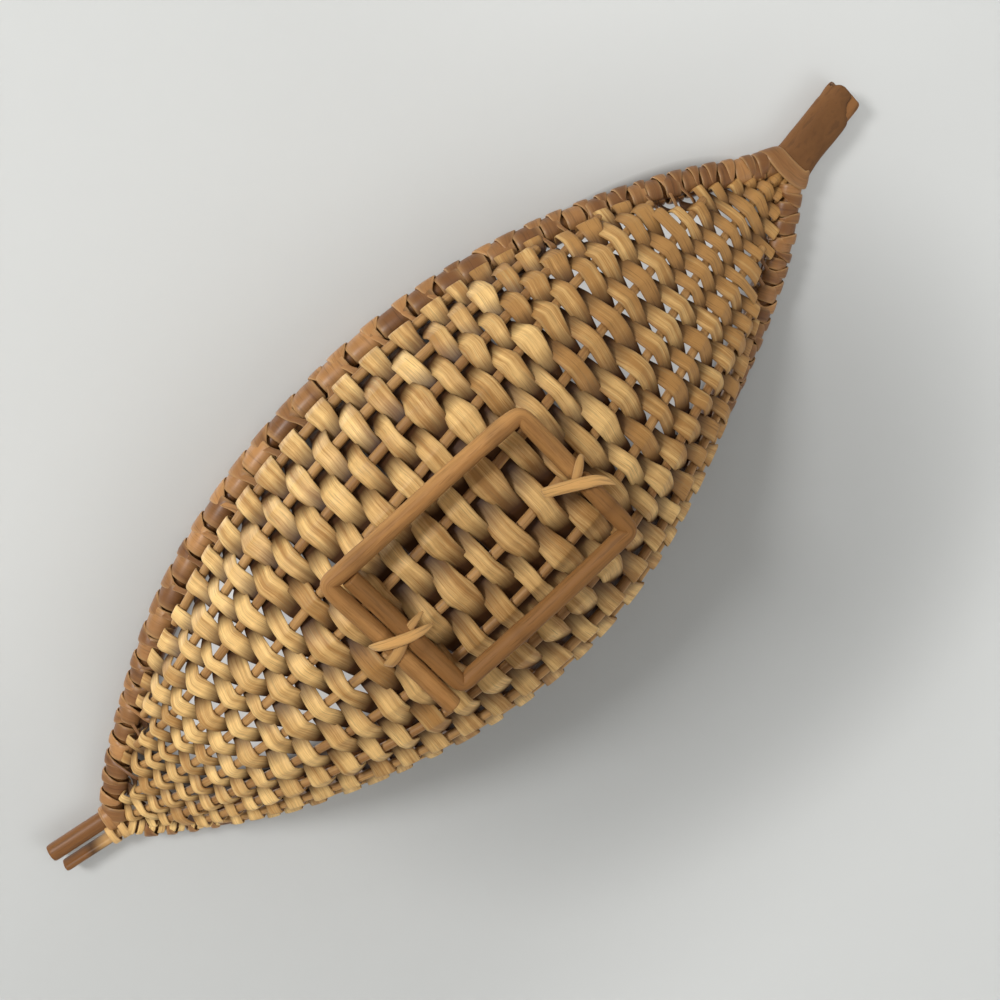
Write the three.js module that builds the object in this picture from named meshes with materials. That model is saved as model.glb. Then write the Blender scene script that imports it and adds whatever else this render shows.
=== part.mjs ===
// A boat-shaped willow basket on a low rectangular foot, in millimetres.
// It stands upright: the foot is on z = 0, the length runs along X and the front wall faces -Y.
// Skeins of split willow cross the hull from rim to rim, over one rib and under the next.
import * as THREE from "three";

// Hull: a surface through the centres of the rim rods, the ribs and the weave
const RIM_HALF_LENGTH = 175; // middle to where the two rim rods come together
const RIM_HALF_WIDTH = 65.5; // middle to the centre of a rim rod
const HULL_DEPTH = 66; // rim rod centre down to the keel rib centre
const KEEL_HEIGHT = 11.2; // keel rib centre above the floor
const SHEER = 2; // rise of the rim from mid length to its tips
// Lower fullness is bluffer; ribsClosest is the least spacing between neighbouring ribs.
const LEFT_END = { rimFullness: 0.8, keelFullness: 1.08, ribsClosest: 8.5 };
const RIGHT_END = { rimFullness: 0.98, keelFullness: 2.05, ribsClosest: 15 };
const KEEL_FLATNESS = 2.26; // exponent along the keel line
const WALL_SPREAD = 0.815; // exponent of the section's width
const WALL_SQUARENESS = 0.806; // exponent of the section's depth at mid length
const END_ROUNDNESS = 1; // the same exponent at the tips
const KEEL_SWAY = -8; // handmade sideways wander of the keel along the length
const KEEL_BOW = -7;

// Rods
const RIM_ROD_RADIUS = 3.5;
const LEFT_STUB = { length: 27, frontRadius: 3.5, backRadius: 2.6, lean: -4.5 };
const RIGHT_STUB = { length: 31.5, frontRadius: 2.7, backRadius: 2.7, lean: -4.3 };
const STUB_TAPER_START = 0.8; // share of the half length where a rim rod starts to change to its stub
const RIB_RADIUS = 2; // at mid length
const RIB_TIP_RADIUS = 1.5;
const RIBS_PER_WALL = 5; // with one more along the keel
const RIB_EASE = 10; // exponent of the change to the least spacing, higher is more sudden
const RIB_CHANGE = 0.3; // from one end's spacing to the other's within this share of the half length
const RIB_TO_RIM = 12.5; // least spacing between a rib and the rim rod

// Weave
const WEAVE_CENTRE = -1.4; // the passes are laid out from here towards both tips
const PASS_PITCH = 6.7; // spacing of the passes at the centre
const PASS_PITCH_FALL = 0.4; // share of that lost at the tips
const SKEIN_THICKNESS = 0.9;
const SKEIN_CREST_WIDTH = 1.4; // widest, over a rib, as a share of the local pitch
const SKEIN_RIM_WIDTH = 1.65; // where it turns round the rim rod
const SKEIN_SIDE_GAP = 1; // between neighbours where they cross between two ribs
const PASSES_PER_SKEIN = 4;
const RIM_LEAN_REACH = 5; // the skeins leave the rim rod in line with this much of the wall, each half
const RIB_END_SHARE = 0.25; // a rib runs this share of a pitch past its last pass
const SEAT_GAP = 0.35; // clearance where one piece lies on another

// Foot
const FOOT_LENGTH = 84.5; // between the centres of the outer legs
const FOOT_WIDTH = 58; // between the centres of the rails
const FOOT_CENTRE = new THREE.Vector2(-4.2, -4);
const FOOT_ROD_RADIUS = 3.4;
const FOOT_CORNER_RADIUS = 5;
const FOOT_LEG_OVERRUN = 2; // the outer left leg runs past the back rail by this much
const FOOT_JOINT_GAP = 0.8; // between the rod ends in the right leg, and from the inner leg to the rail

// Ties and lashings
const TIE_WIDTH = 2.6;
const TIE_THICKNESS = 0.7;
const TIE_SPREAD = 3.2; // half the height of the cross at the sides of the legs
const LASHING_WIDTH = 6; // one broad turn of skein round both rim rods
const LASHING_THICKNESS = 0.9;
const LEFT_LASHING_START = 1; // from where the rim rods come together
const SHEATH_LENGTH = 29.5;
const SHEATH_THICKNESS = 1;
const SHEATH_TO_LASHING = 2;

// Facets
const RIM_STEPS = 30;
const RIM_SIDES = 8;
const RIB_STEPS = 24;
const RIB_SIDES = 5;
const FOOT_SIDES = 8;
const TURN_STEP = Math.PI / 3; // of a skein round the rim rod
const SECTION_STEPS = 40;

const RIM_HEIGHT = KEEL_HEIGHT + HULL_DEPTH;
const RIM_COLOUR = 0x8a5f3a;
const RIB_COLOUR = 0x9c7448;
const SKEIN_COLOUR = 0xcda66b;
const FOOT_COLOUR = 0x94703f;

const { lerp, clamp, smoothstep } = THREE.MathUtils;

function willow(color, roughness) {
  return new THREE.MeshStandardMaterial({ color, roughness, metalness: 0 });
}

// One closed skin over a list of rings with the same number of points.
function loft(rings, closed = false) {
  const count = rings[0].length;
  const index = [];
  const bands = closed ? rings.length : rings.length - 1;
  for (let i = 0; i < bands; i += 1) {
    const a = i * count;
    const b = ((i + 1) % rings.length) * count;
    for (let j = 0; j < count; j += 1) {
      const k = (j + 1) % count;
      index.push(a + j, b + k, b + j, a + j, a + k, b + k);
    }
  }
  if (!closed) {
    const end = (rings.length - 1) * count;
    for (let j = 1; j < count - 1; j += 1) {
      index.push(0, j + 1, j, end, end + j, end + j + 1);
    }
  }
  const geometry = new THREE.BufferGeometry().setFromPoints(rings.flat());
  geometry.setIndex(signedVolume(rings.flat(), index) < 0 ? index.reverse() : index);
  geometry.computeVertexNormals();
  return geometry;
}

function signedVolume(points, index) {
  let volume = 0;
  for (let i = 0; i < index.length; i += 3) {
    const [a, b, c] = [points[index[i]], points[index[i + 1]], points[index[i + 2]]];
    volume += a.dot(b.clone().cross(c)) / 6;
  }
  return volume;
}

// A rectangle across a flat strip: side is along its width and face is through its thickness.
function stripRing(centre, side, face, width, thickness) {
  const s = side.clone().multiplyScalar(width / 2);
  const f = face.clone().multiplyScalar(thickness / 2);
  return [
    centre.clone().add(s).add(f),
    centre.clone().sub(s).add(f),
    centre.clone().sub(s).sub(f),
    centre.clone().add(s).sub(f),
  ];
}

// A round rod through points, with a flat facet towards -Z where it runs level.
function rod(points, radii, sides) {
  const up = new THREE.Vector3(0, 0, 1);
  const rings = points.map((point, i) => {
    const before = points[Math.max(i - 1, 0)];
    const after = points[Math.min(i + 1, points.length - 1)];
    const ahead = after.clone().sub(before).normalize();
    const side = new THREE.Vector3().crossVectors(up, ahead).normalize();
    const top = new THREE.Vector3().crossVectors(ahead, side);
    return Array.from({ length: sides }, (_, j) => {
      const angle = ((j + 0.5) / sides) * 2 * Math.PI;
      return point
        .clone()
        .addScaledVector(side, radii[i] * Math.sin(angle))
        .addScaledVector(top, radii[i] * Math.cos(angle));
    });
  });
  return loft(rings);
}

// Radius of a rim rod along the length; wall is -1 for the front rod and 1 for the back one.
function rimRadius(x, wall) {
  const stub = x < 0 ? LEFT_STUB : RIGHT_STUB;
  const share = smoothstep(Math.abs(x) / RIM_HALF_LENGTH, STUB_TAPER_START, 1);
  return lerp(RIM_ROD_RADIUS, wall < 0 ? stub.frontRadius : stub.backRadius, share);
}

// Hull surface: angle runs from -90 degrees at the front rim through the keel to 90 at the back rim.
function hullPoint(x, angle) {
  const along = x / RIM_HALF_LENGTH;
  const t = Math.min(Math.abs(along), 1);
  const end = x < 0 ? LEFT_END : RIGHT_END;
  const wall = Math.sign(angle);
  const bow = RIM_HALF_WIDTH * (1 - t ** 2) ** end.rimFullness;
  const width = Math.hypot(bow, rimRadius(x, wall) + SEAT_GAP / 2);
  const depth = HULL_DEPTH * (1 - t ** KEEL_FLATNESS) ** end.keelFullness;
  const out = Math.abs(Math.sin(angle));
  const down = Math.max(Math.cos(angle), 0);
  const drift = (KEEL_SWAY * along + KEEL_BOW * along ** 2) * (1 - t ** 2) * down;
  const squareness = lerp(WALL_SQUARENESS, END_ROUNDNESS, t ** 2);
  return new THREE.Vector3(
    x,
    wall * width * out ** WALL_SPREAD + drift,
    RIM_HEIGHT + SHEER * t ** 2 - depth * down ** squareness,
  );
}

// One wall of a cross-section as a polyline from the keel to the rim, with its length so far.
function wallLine(x, wall) {
  const points = [];
  const lengths = [0];
  for (let i = 0; i <= SECTION_STEPS; i += 1) {
    points.push(hullPoint(x, (wall * (i * Math.PI)) / 2 / SECTION_STEPS + wall * 1e-6));
    if (i > 0) lengths.push(lengths[i - 1] + points[i].distanceTo(points[i - 1]));
  }
  return { points, lengths, total: lengths[SECTION_STEPS] };
}

const wallLines = new Map();
function wallAt(x, wall) {
  const key = `${x.toFixed(4)} ${wall}`;
  if (!wallLines.has(key)) wallLines.set(key, wallLine(x, wall));
  return wallLines.get(key);
}

// A point at a distance from the keel along the section; negative distances are on the front wall.
function surfacePoint(x, distance) {
  const { points, lengths, total } = wallAt(x, distance < 0 ? -1 : 1);
  const reach = clamp(Math.abs(distance), 0, total);
  const i = Math.max(1, lengths.findIndex((length) => length >= reach - 1e-9));
  const share = (reach - lengths[i - 1]) / (lengths[i] - lengths[i - 1]);
  return points[i - 1].clone().lerp(points[i], share);
}

// Surface directions on a path across the sections: along it, across it towards +Y, and out of the hull.
function surfaceFrame(x, path, reach = 0.5) {
  const step = 0.5;
  const distance = path(x);
  const wall = distance < 0 ? -1 : 1;
  const total = wallAt(x, wall).total;
  const far = Math.min(Math.abs(distance) + reach, total);
  const across = surfacePoint(x, wall * far).sub(surfacePoint(x, wall * (far - 2 * reach)));
  across.multiplyScalar(wall).normalize();
  const along = surfacePoint(x + step, path(x + step)).sub(surfacePoint(x - step, path(x - step)));
  along.normalize();
  const outward = new THREE.Vector3().crossVectors(across, along).normalize();
  across.crossVectors(along, outward);
  return { point: surfacePoint(x, distance), along, across, outward };
}

// Ribs lie evenly between the rims, and ease into their least spacing towards the end.
function ribPitch(x, wall) {
  const share = smoothstep(x / RIM_HALF_LENGTH, -RIB_CHANGE, RIB_CHANGE);
  const closest = lerp(LEFT_END.ribsClosest, RIGHT_END.ribsClosest, share);
  const even = wallAt(x, wall).total / (RIBS_PER_WALL + 1);
  return (even ** RIB_EASE + closest ** RIB_EASE) ** (1 / RIB_EASE);
}

function ribRadius(x) {
  return lerp(RIB_RADIUS, RIB_TIP_RADIUS, Math.abs(x) / RIM_HALF_LENGTH);
}

function ribDistance(x, rib) {
  return rib * ribPitch(x, rib < 0 ? -1 : 1);
}

const ribPath = (rib) => (x) => ribDistance(x, rib);
const rimPath = (wall) => (x) => wall * wallAt(x, wall).total;

function ribIsWoven(x, rib) {
  const distance = ribDistance(x, rib);
  const room = Math.min(distance - rimPath(-1)(x), rimPath(1)(x) - distance);
  return Math.abs(x) < RIM_HALF_LENGTH && room >= RIB_TO_RIM;
}

function passPitch(x) {
  return PASS_PITCH * (1 - PASS_PITCH_FALL * (x / RIM_HALF_LENGTH) ** 2);
}

// Stations of the passes from left to right, as far as the keel rib can still be woven.
function passStations() {
  const stations = [];
  for (const end of [-1, 1]) {
    let x = WEAVE_CENTRE + (end * PASS_PITCH) / 2;
    while (ribIsWoven(x, 0)) {
      stations.push(x);
      x += end * passPitch(x);
    }
  }
  return stations.sort((a, b) => a - b);
}

const STATIONS = passStations();
const MIDDLE_PASS = STATIONS.findIndex((x) => x > WEAVE_CENTRE);
const RIBS = Array.from({ length: 2 * RIBS_PER_WALL + 1 }, (_, i) => i - RIBS_PER_WALL);

// 1 where a pass lies outside a rib, -1 where it lies inside.
function sideOf(pass, rib) {
  return (pass - MIDDLE_PASS + rib) % 2 === 0 ? -1 : 1;
}

function wovenRibs(x) {
  return RIBS.filter((rib) => ribIsWoven(x, rib));
}

// Passes 0-1, 2-3 and so on join round the back rim, and 1-2, 3-4 and so on round the front rim.
function joinsNext(pass, wall) {
  return pass % 2 === (wall > 0 ? 0 : 1);
}

// The side on which a pass meets a rim rod: the skein turns over the rod, so joined passes differ.
function rimSide(pass, wall) {
  const first = joinsNext(pass, wall) ? pass : pass - 1;
  const lead = first < 0 ? pass : first;
  const ribs = wovenRibs(STATIONS[lead]);
  const natural = -sideOf(lead, wall > 0 ? ribs[ribs.length - 1] : ribs[0]);
  return lead === pass ? natural : -natural;
}

// Distance that keeps a strip clear of a rod on the slanting way to its neighbour.
function crestOffset(reach, neighbourReach, spacing) {
  const slope = Math.min((reach + neighbourReach) / spacing, 0.9);
  return reach / Math.sqrt(1 - slope ** 2);
}

// Rods cross the strips at a slant towards the tips, so the clearance grows there.
const seatGap = (x) => SEAT_GAP * (1 + (x / RIM_HALF_LENGTH) ** 2);
const HALF_SKEIN = SKEIN_THICKNESS / 2;
const ribReach = (x) => ribRadius(x) + seatGap(x) + HALF_SKEIN;
const rimReach = (x, wall) => rimRadius(x, wall) + seatGap(x) + HALF_SKEIN;

// The rods that a pass meets, from the front rim to the back rim: their paths, reach and side.
function crossings(pass) {
  const x = STATIONS[pass];
  const ribs = wovenRibs(x).map((rib) => {
    const tied = rib === 0 && tiedPasses.includes(pass);
    const reach = ribReach(x) + (tied ? TIE_THICKNESS + 2 * SEAT_GAP : 0);
    return { path: ribPath(rib), reach, side: sideOf(pass, rib) };
  });
  const [front, back] = [-1, 1].map((wall) => {
    return { path: rimPath(wall), reach: rimReach(x, wall), side: rimSide(pass, wall) };
  });
  return [front, ...ribs, back];
}

// A skein's bark face points out of the hull on one pass, and into it on the next, after the turn.
const barkSide = (pass) => (pass % 2 === 0 ? 1 : -1);

function surfaceRing(x, path, offset, width, bark) {
  const { point, along, outward } = surfaceFrame(x, path);
  point.addScaledVector(outward, offset);
  return stripRing(point, along, outward.multiplyScalar(bark), width, SKEIN_THICKNESS);
}

// Rings of one pass from the front rim to the back rim, without the turns round the rims.
function passRings(pass) {
  const x = STATIONS[pass];
  const pitch = passPitch(x);
  const rods = crossings(pass);
  const spacing = rods.slice(1).map((rod, i) => rod.path(x) - rods[i].path(x));
  const rings = [];
  rods.slice(0, -1).forEach((here, i) => {
    const next = rods[i + 1];
    if (i > 0) {
      const before = rods[i - 1];
      const offset = Math.max(
        crestOffset(here.reach, next.reach, spacing[i]),
        crestOffset(here.reach, before.reach, spacing[i - 1]),
      );
      const width = pitch * SKEIN_CREST_WIDTH;
      rings.push(surfaceRing(x, here.path, here.side * offset, width, barkSide(pass)));
    }
    const share = here.reach / (here.reach + next.reach);
    const between = (at) => lerp(here.path(at), next.path(at), share);
    const offset = here.side === next.side ? (here.side * (here.reach + next.reach)) / 2 : 0;
    rings.push(surfaceRing(x, between, offset, pitch - SKEIN_SIDE_GAP, barkSide(pass)));
  });
  return rings;
}

// A ring of a skein at an angle round a rim rod: 0 is outside the hull, 90 degrees on top.
function rimRing(x, wall, angle, width, bark) {
  const { point, along, across, outward } = surfaceFrame(x, rimPath(wall), RIM_LEAN_REACH);
  const radial = outward.clone().multiplyScalar(Math.cos(angle));
  radial.addScaledVector(across, wall * Math.sin(angle));
  const reach = rimReach(x, wall) / Math.cos(TURN_STEP / 2);
  point.addScaledVector(radial, reach);
  return stripRing(point, along, radial.multiplyScalar(bark), width, SKEIN_THICKNESS);
}

function neighboursDiffer(pass, wall) {
  const here = rimSide(pass, wall);
  return [pass - 1, pass + 1].every(
    (other) => !(other in STATIONS) || rimSide(other, wall) !== here,
  );
}

// Rings of a turn over a rim rod, from one angle to another, while x moves from one pass to the next.
function turnRings(from, to, wall, startShare, endShare) {
  const startAngle = rimSide(from, wall) > 0 ? 0 : Math.PI;
  const endAngle = Math.PI - startAngle;
  const bark = barkSide(from) * rimSide(from, wall);
  const steps = Math.round((Math.PI * (endShare - startShare)) / TURN_STEP);
  return Array.from({ length: steps + 1 }, (_, i) => {
    const share = lerp(startShare, endShare, i / steps);
    const x = lerp(STATIONS[from], STATIONS[to], share);
    const nearest = share < 0.5 ? from : to;
    const tight = (share < 0.3 || share > 0.7) && !neighboursDiffer(nearest, wall);
    const width = tight ? passPitch(x) - SKEIN_SIDE_GAP : passPitch(x) * SKEIN_RIM_WIDTH;
    return rimRing(x, wall, lerp(startAngle, endAngle, share), width, bark);
  });
}

// A rim turn cut short on top of the rod, where one skein ends and the next begins.
function endTurnRings(pass, wall, leaving) {
  const other = joinsNext(pass, wall) ? pass + 1 : pass - 1;
  const share = 1 / 3;
  if (!(other in STATIONS)) {
    const angle = rimSide(pass, wall) > 0 ? 0 : Math.PI;
    const x = STATIONS[pass];
    const width = passPitch(x) - SKEIN_SIDE_GAP;
    const bark = barkSide(pass) * rimSide(pass, wall);
    const rings = [0, 0.6].map((turn) => {
      return rimRing(x, wall, lerp(angle, Math.PI / 2, turn), width, bark);
    });
    return leaving ? rings : rings.reverse();
  }
  return leaving ? turnRings(pass, other, wall, 0, share) : turnRings(other, pass, wall, 1 - share, 1);
}

function skeinGeometry(first) {
  const last = Math.min(first + PASSES_PER_SKEIN, STATIONS.length) - 1;
  const startWall = first % 2 === 0 ? -1 : 1;
  const rings = endTurnRings(first, startWall, false);
  for (let pass = first; pass <= last; pass += 1) {
    const goesBack = pass % 2 === 0;
    const wall = goesBack ? 1 : -1;
    rings.push(...(goesBack ? passRings(pass) : passRings(pass).reverse()));
    if (pass < last) rings.push(...turnRings(pass, pass + 1, wall, 0, 1));
    else rings.push(...endTurnRings(pass, wall, true));
  }
  return loft(rings);
}

// A rib runs a little past the first and last passes that cross it. Its steps close up towards its ends.
function ribGeometry(rib) {
  const woven = STATIONS.filter((x) => ribIsWoven(x, rib));
  const start = woven[0] - RIB_END_SHARE * passPitch(woven[0]);
  const finish = woven.at(-1) + RIB_END_SHARE * passPitch(woven.at(-1));
  const stations = Array.from({ length: RIB_STEPS + 1 }, (_, i) => {
    const even = (2 * i) / RIB_STEPS - 1;
    const share = (even + Math.sin((even * Math.PI) / 2)) / 2;
    return lerp(start, finish, (share + 1) / 2);
  });
  const points = stations.map((x) => surfacePoint(x, ribDistance(x, rib)));
  return rod(points, stations.map(ribRadius), RIB_SIDES);
}

// Sideways lean of the handle stubs, from where the rim rods come together to their ends.
function stubLean(x) {
  const stub = x < 0 ? LEFT_STUB : RIGHT_STUB;
  return (stub.lean * Math.max(Math.abs(x) - RIM_HALF_LENGTH, 0)) / stub.length;
}

function rimCentre(x, wall) {
  const inHull = clamp(x, -RIM_HALF_LENGTH, RIM_HALF_LENGTH);
  const point = hullPoint(inHull, (wall * Math.PI) / 2);
  return point.setX(x).setY(point.y + stubLean(x));
}

// Stations close up towards the ends, where the rods bend most.
function rimRodGeometry(wall) {
  const bend = Array.from({ length: RIM_STEPS + 1 }, (_, i) => {
    const share = (2 * i) / RIM_STEPS - 1;
    return RIM_HALF_LENGTH * Math.sin((share * Math.PI) / 2);
  });
  const stations = [
    -RIM_HALF_LENGTH - LEFT_STUB.length,
    ...bend,
    RIM_HALF_LENGTH + RIGHT_STUB.length,
  ];
  const points = stations.map((x) => rimCentre(x, wall));
  return rod(points, stations.map((x) => rimRadius(x, wall)), RIM_SIDES);
}

// The oval that goes round both rim rods at a station, at a distance from their surfaces.
function pairOval(x, distance, angle) {
  const wall = Math.cos(angle) < 0 ? -1 : 1;
  const centre = rimCentre(x, wall);
  const along = rimCentre(x + 0.5, wall).sub(rimCentre(x - 0.5, wall)).normalize();
  const outward = new THREE.Vector3(0, Math.cos(angle), Math.sin(angle));
  outward.addScaledVector(along, -outward.dot(along)).normalize();
  return { along, outward, point: centre.addScaledVector(outward, rimRadius(x, wall) + distance) };
}

// Angles of one turn round the pair, with a ring on each side of the straight stretches.
const OVAL_ANGLES = [-80, -40, 0, 40, 80, 100, 140, 180, 220, 260].map(THREE.MathUtils.degToRad);

// A closed band round both rim rods from one station to another.
function bandGeometry(start, finish, thickness) {
  const inner = SEAT_GAP * 1.5;
  const stations = [0, 0.5, 1].map((share) => lerp(start, finish, share));
  const rings = OVAL_ANGLES.map((angle) => [
    ...stations.map((x) => pairOval(x, inner, angle).point),
    ...stations.map((x) => pairOval(x, inner + thickness, angle).point).reverse(),
  ]);
  return loft(rings, true);
}

// Foot plan
const FOOT_LEFT = FOOT_CENTRE.x - FOOT_LENGTH / 2;
const FOOT_RIGHT = FOOT_CENTRE.x + FOOT_LENGTH / 2;
const FOOT_FRONT = FOOT_CENTRE.y - FOOT_WIDTH / 2;
const FOOT_BACK = FOOT_CENTRE.y + FOOT_WIDTH / 2;
const INNER_LEG = FOOT_LEFT + 2 * FOOT_ROD_RADIUS + SEAT_GAP;
const RAIL_HEIGHT = FOOT_ROD_RADIUS * Math.cos(Math.PI / FOOT_SIDES);

// How far the skeins reach out of the hull surface over a rib.
function weaveDepth(x) {
  return crestOffset(ribReach(x), ribReach(x), ribPitch(x, 1)) + HALF_SKEIN;
}

// Height of a leg's centre where it passes under the keel, against the skeins that lie outside it.
function legSeat(x) {
  const nearer = x - Math.sign(x) * FOOT_ROD_RADIUS;
  return hullPoint(nearer, 0).z - weaveDepth(x) - SEAT_GAP - FOOT_ROD_RADIUS;
}

// Legs arch up from the rails to the keel.
function legHeight(x, y) {
  const keel = hullPoint(x, 0).y;
  const reach = y < keel ? keel - FOOT_FRONT : FOOT_BACK - keel;
  const share = clamp(Math.abs(y - keel) / reach, 0, 1);
  return lerp(legSeat(x), RAIL_HEIGHT, smoothstep(share, 0.25, 0.9));
}

function footCorner(x, y, inX, inY) {
  const steps = [0, 0.5, 1];
  return steps.map((share) => {
    const angle = (share * Math.PI) / 2;
    return new THREE.Vector3(
      x + inX * FOOT_CORNER_RADIUS * (1 - Math.sin(angle)),
      y + inY * FOOT_CORNER_RADIUS * (1 - Math.cos(angle)),
      RAIL_HEIGHT,
    );
  });
}

function legPoints(x, startY, endY) {
  const steps = Math.max(2, Math.round(Math.abs(endY - startY) / 8));
  return Array.from({ length: steps + 1 }, (_, i) => {
    const y = lerp(startY, endY, i / steps);
    return new THREE.Vector3(x, y, legHeight(x, y));
  });
}

// One foot rod: its left leg, its rail and its half of the right leg.
function footRodGeometry(railY, inY, leftX, leftEnd, rightEnd) {
  const bendY = railY + inY * FOOT_CORNER_RADIUS;
  const points = [
    ...legPoints(leftX, leftEnd, bendY),
    ...footCorner(leftX, railY, 1, inY).reverse(),
    ...footCorner(FOOT_RIGHT, railY, -1, inY),
    ...legPoints(FOOT_RIGHT, bendY, rightEnd),
  ];
  const apart = points.filter((point, i) => i === 0 || point.distanceTo(points[i - 1]) > 0.5);
  return rod(apart, apart.map(() => FOOT_ROD_RADIUS), FOOT_SIDES);
}

// The nearest pass inside the keel rib on each side of the legs, where a tie can go round the rib.
function tiePasses(leftX, rightX) {
  const inside = STATIONS.map((_, pass) => pass).filter((pass) => sideOf(pass, 0) < 0);
  return [
    inside.filter((pass) => STATIONS[pass] < leftX - FOOT_ROD_RADIUS).at(-1),
    inside.find((pass) => STATIONS[pass] > rightX + FOOT_ROD_RADIUS),
  ];
}

const LEFT_TIE = tiePasses(FOOT_LEFT, INNER_LEG);
const RIGHT_TIE = tiePasses(FOOT_RIGHT, FOOT_RIGHT);
const tiedPasses = [...LEFT_TIE, ...RIGHT_TIE];

// Rings of a tie over the keel rib at a pass, from its front side to its back side, and down past the weave.
function tieOverRib(x, footX) {
  const { point, along, across, outward } = surfaceFrame(x, ribPath(0));
  const reach = ribRadius(x) + SEAT_GAP + TIE_THICKNESS / 2;
  const below = weaveDepth(x) + SEAT_GAP + TIE_THICKNESS;
  const ring = (centre, face) => stripRing(centre, along, face, TIE_WIDTH, TIE_THICKNESS);
  const over = [-90, -45, 0, 45, 90].map((degrees) => {
    const angle = THREE.MathUtils.degToRad(degrees);
    const face = outward.clone().multiplyScalar(-Math.cos(angle)).addScaledVector(across, Math.sin(angle));
    return ring(point.clone().addScaledVector(face, reach / Math.cos(Math.PI / 8)), face);
  });
  const [front, back] = [-1, 1].map((wall) => {
    const face = across.clone().multiplyScalar(wall);
    const foot = point.clone().addScaledVector(outward, below).addScaledVector(face, TIE_SPREAD);
    return ring(foot.setX(footX), face);
  });
  return [front, ...over, back];
}

// Rings of a tie under the legs between its two stations; layer 1 lies below layer 0.
function tieUnderLegs([leftX, rightX], [leftStation, rightStation], layer, slant) {
  const keel = hullPoint((leftX + rightX) / 2, 0).y;
  const reach = FOOT_ROD_RADIUS + SEAT_GAP + TIE_THICKNESS / 2 + layer * (TIE_THICKNESS + SEAT_GAP);
  const corners = [
    [leftX, leftX - leftStation < 2 * FOOT_ROD_RADIUS ? 180 : 225],
    [leftX, 225],
    [leftX, 270],
    [rightX, 270],
    [rightX, 315],
    [rightX, rightStation - rightX < 2 * FOOT_ROD_RADIUS ? 360 : 315],
  ];
  const distinct = corners.filter(([x, turn], i) => {
    return i === 0 || x !== corners[i - 1][0] || turn !== corners[i - 1][1];
  });
  const side = new THREE.Vector3(0, slant, 0);
  const far = reach / Math.cos(Math.PI / 8);
  return distinct.map(([x, degrees]) => {
    const angle = THREE.MathUtils.degToRad(degrees);
    const face = new THREE.Vector3(Math.cos(angle), 0, Math.sin(angle));
    const at = x + far * face.x;
    const share = (at - leftStation) / (rightStation - leftStation);
    const y = keel + slant * TIE_SPREAD * (1 - 2 * share);
    const centre = new THREE.Vector3(at, y, legHeight(x, keel) + far * face.z);
    return stripRing(centre, side, face, TIE_WIDTH, TIE_THICKNESS);
  });
}

// A figure of eight: over the keel rib on both sides of the legs, and crossed below them.
function tieGeometry(passes, legs) {
  const stations = passes.map((pass) => STATIONS[pass]);
  const clear = FOOT_ROD_RADIUS + SEAT_GAP + TIE_WIDTH / 2;
  const overLeft = tieOverRib(stations[0], Math.min(stations[0], legs[0] - clear));
  const overRight = tieOverRib(stations[1], Math.max(stations[1], legs[1] + clear));
  const near = tieUnderLegs(legs, stations, 0, 1);
  const far = tieUnderLegs(legs, stations, 1, -1).reverse();
  return loft([...overLeft, ...near, ...overRight, ...far], true);
}

const basket = new THREE.Group();

function add(name, geometry, material) {
  const mesh = new THREE.Mesh(geometry, material);
  mesh.name = name;
  basket.add(mesh);
}

const twoDigits = (number) => String(number).padStart(2, "0");

add("rim_rod_front", rimRodGeometry(-1), willow(RIM_COLOUR, 0.5));
add("rim_rod_back", rimRodGeometry(1), willow(RIM_COLOUR, 0.5));
RIBS.forEach((rib, i) => {
  add(`rib_${twoDigits(i + 1)}`, ribGeometry(rib), willow(RIB_COLOUR, 0.6));
});
for (let first = 0, i = 1; first < STATIONS.length; first += PASSES_PER_SKEIN, i += 1) {
  add(`skein_${twoDigits(i)}`, skeinGeometry(first), willow(SKEIN_COLOUR, 0.6));
}
const leftEnd = -RIM_HALF_LENGTH - LEFT_LASHING_START;
add(
  "left_lashing",
  bandGeometry(leftEnd - LASHING_WIDTH, leftEnd, LASHING_THICKNESS),
  willow(SKEIN_COLOUR, 0.6),
);
const sheathEnd = RIM_HALF_LENGTH + RIGHT_STUB.length - SHEATH_THICKNESS;
const sheathStart = sheathEnd - SHEATH_LENGTH;
const rightEnd = sheathStart - SHEATH_TO_LASHING;
add(
  "right_lashing",
  bandGeometry(rightEnd - LASHING_WIDTH, rightEnd, LASHING_THICKNESS),
  willow(SKEIN_COLOUR, 0.6),
);
add("handle_sheath", bandGeometry(sheathStart, sheathEnd, SHEATH_THICKNESS), willow(RIM_COLOUR, 0.55));
const jointY = hullPoint(FOOT_RIGHT, 0).y;
add(
  "foot_rod_front",
  footRodGeometry(FOOT_FRONT, 1, FOOT_LEFT, FOOT_BACK + FOOT_LEG_OVERRUN, jointY - FOOT_JOINT_GAP / 2),
  willow(FOOT_COLOUR, 0.6),
);
const innerLegEnd = FOOT_FRONT + FOOT_ROD_RADIUS + FOOT_JOINT_GAP;
add(
  "foot_rod_back",
  footRodGeometry(FOOT_BACK, -1, INNER_LEG, innerLegEnd, jointY + FOOT_JOINT_GAP / 2),
  willow(FOOT_COLOUR, 0.6),
);
add("foot_tie_left", tieGeometry(LEFT_TIE, [FOOT_LEFT, INNER_LEG]), willow(SKEIN_COLOUR, 0.6));
add("foot_tie_right", tieGeometry(RIGHT_TIE, [FOOT_RIGHT, FOOT_RIGHT]), willow(SKEIN_COLOUR, 0.6));

// The origin is at the bottom centre of the whole basket.
const box = new THREE.Box3().setFromObject(basket);
const middle = box.getCenter(new THREE.Vector3());
basket.position.set(-middle.x, -middle.y, -box.min.z);

export default basket;
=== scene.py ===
"""A boat-shaped willow basket on a low foot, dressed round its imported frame.

The hull is drawn in millimetres in the maker's frame, and place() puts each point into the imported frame.
"""
import math
import random
from bisect import bisect
from collections import namedtuple
from functools import lru_cache
from itertools import accumulate

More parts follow.
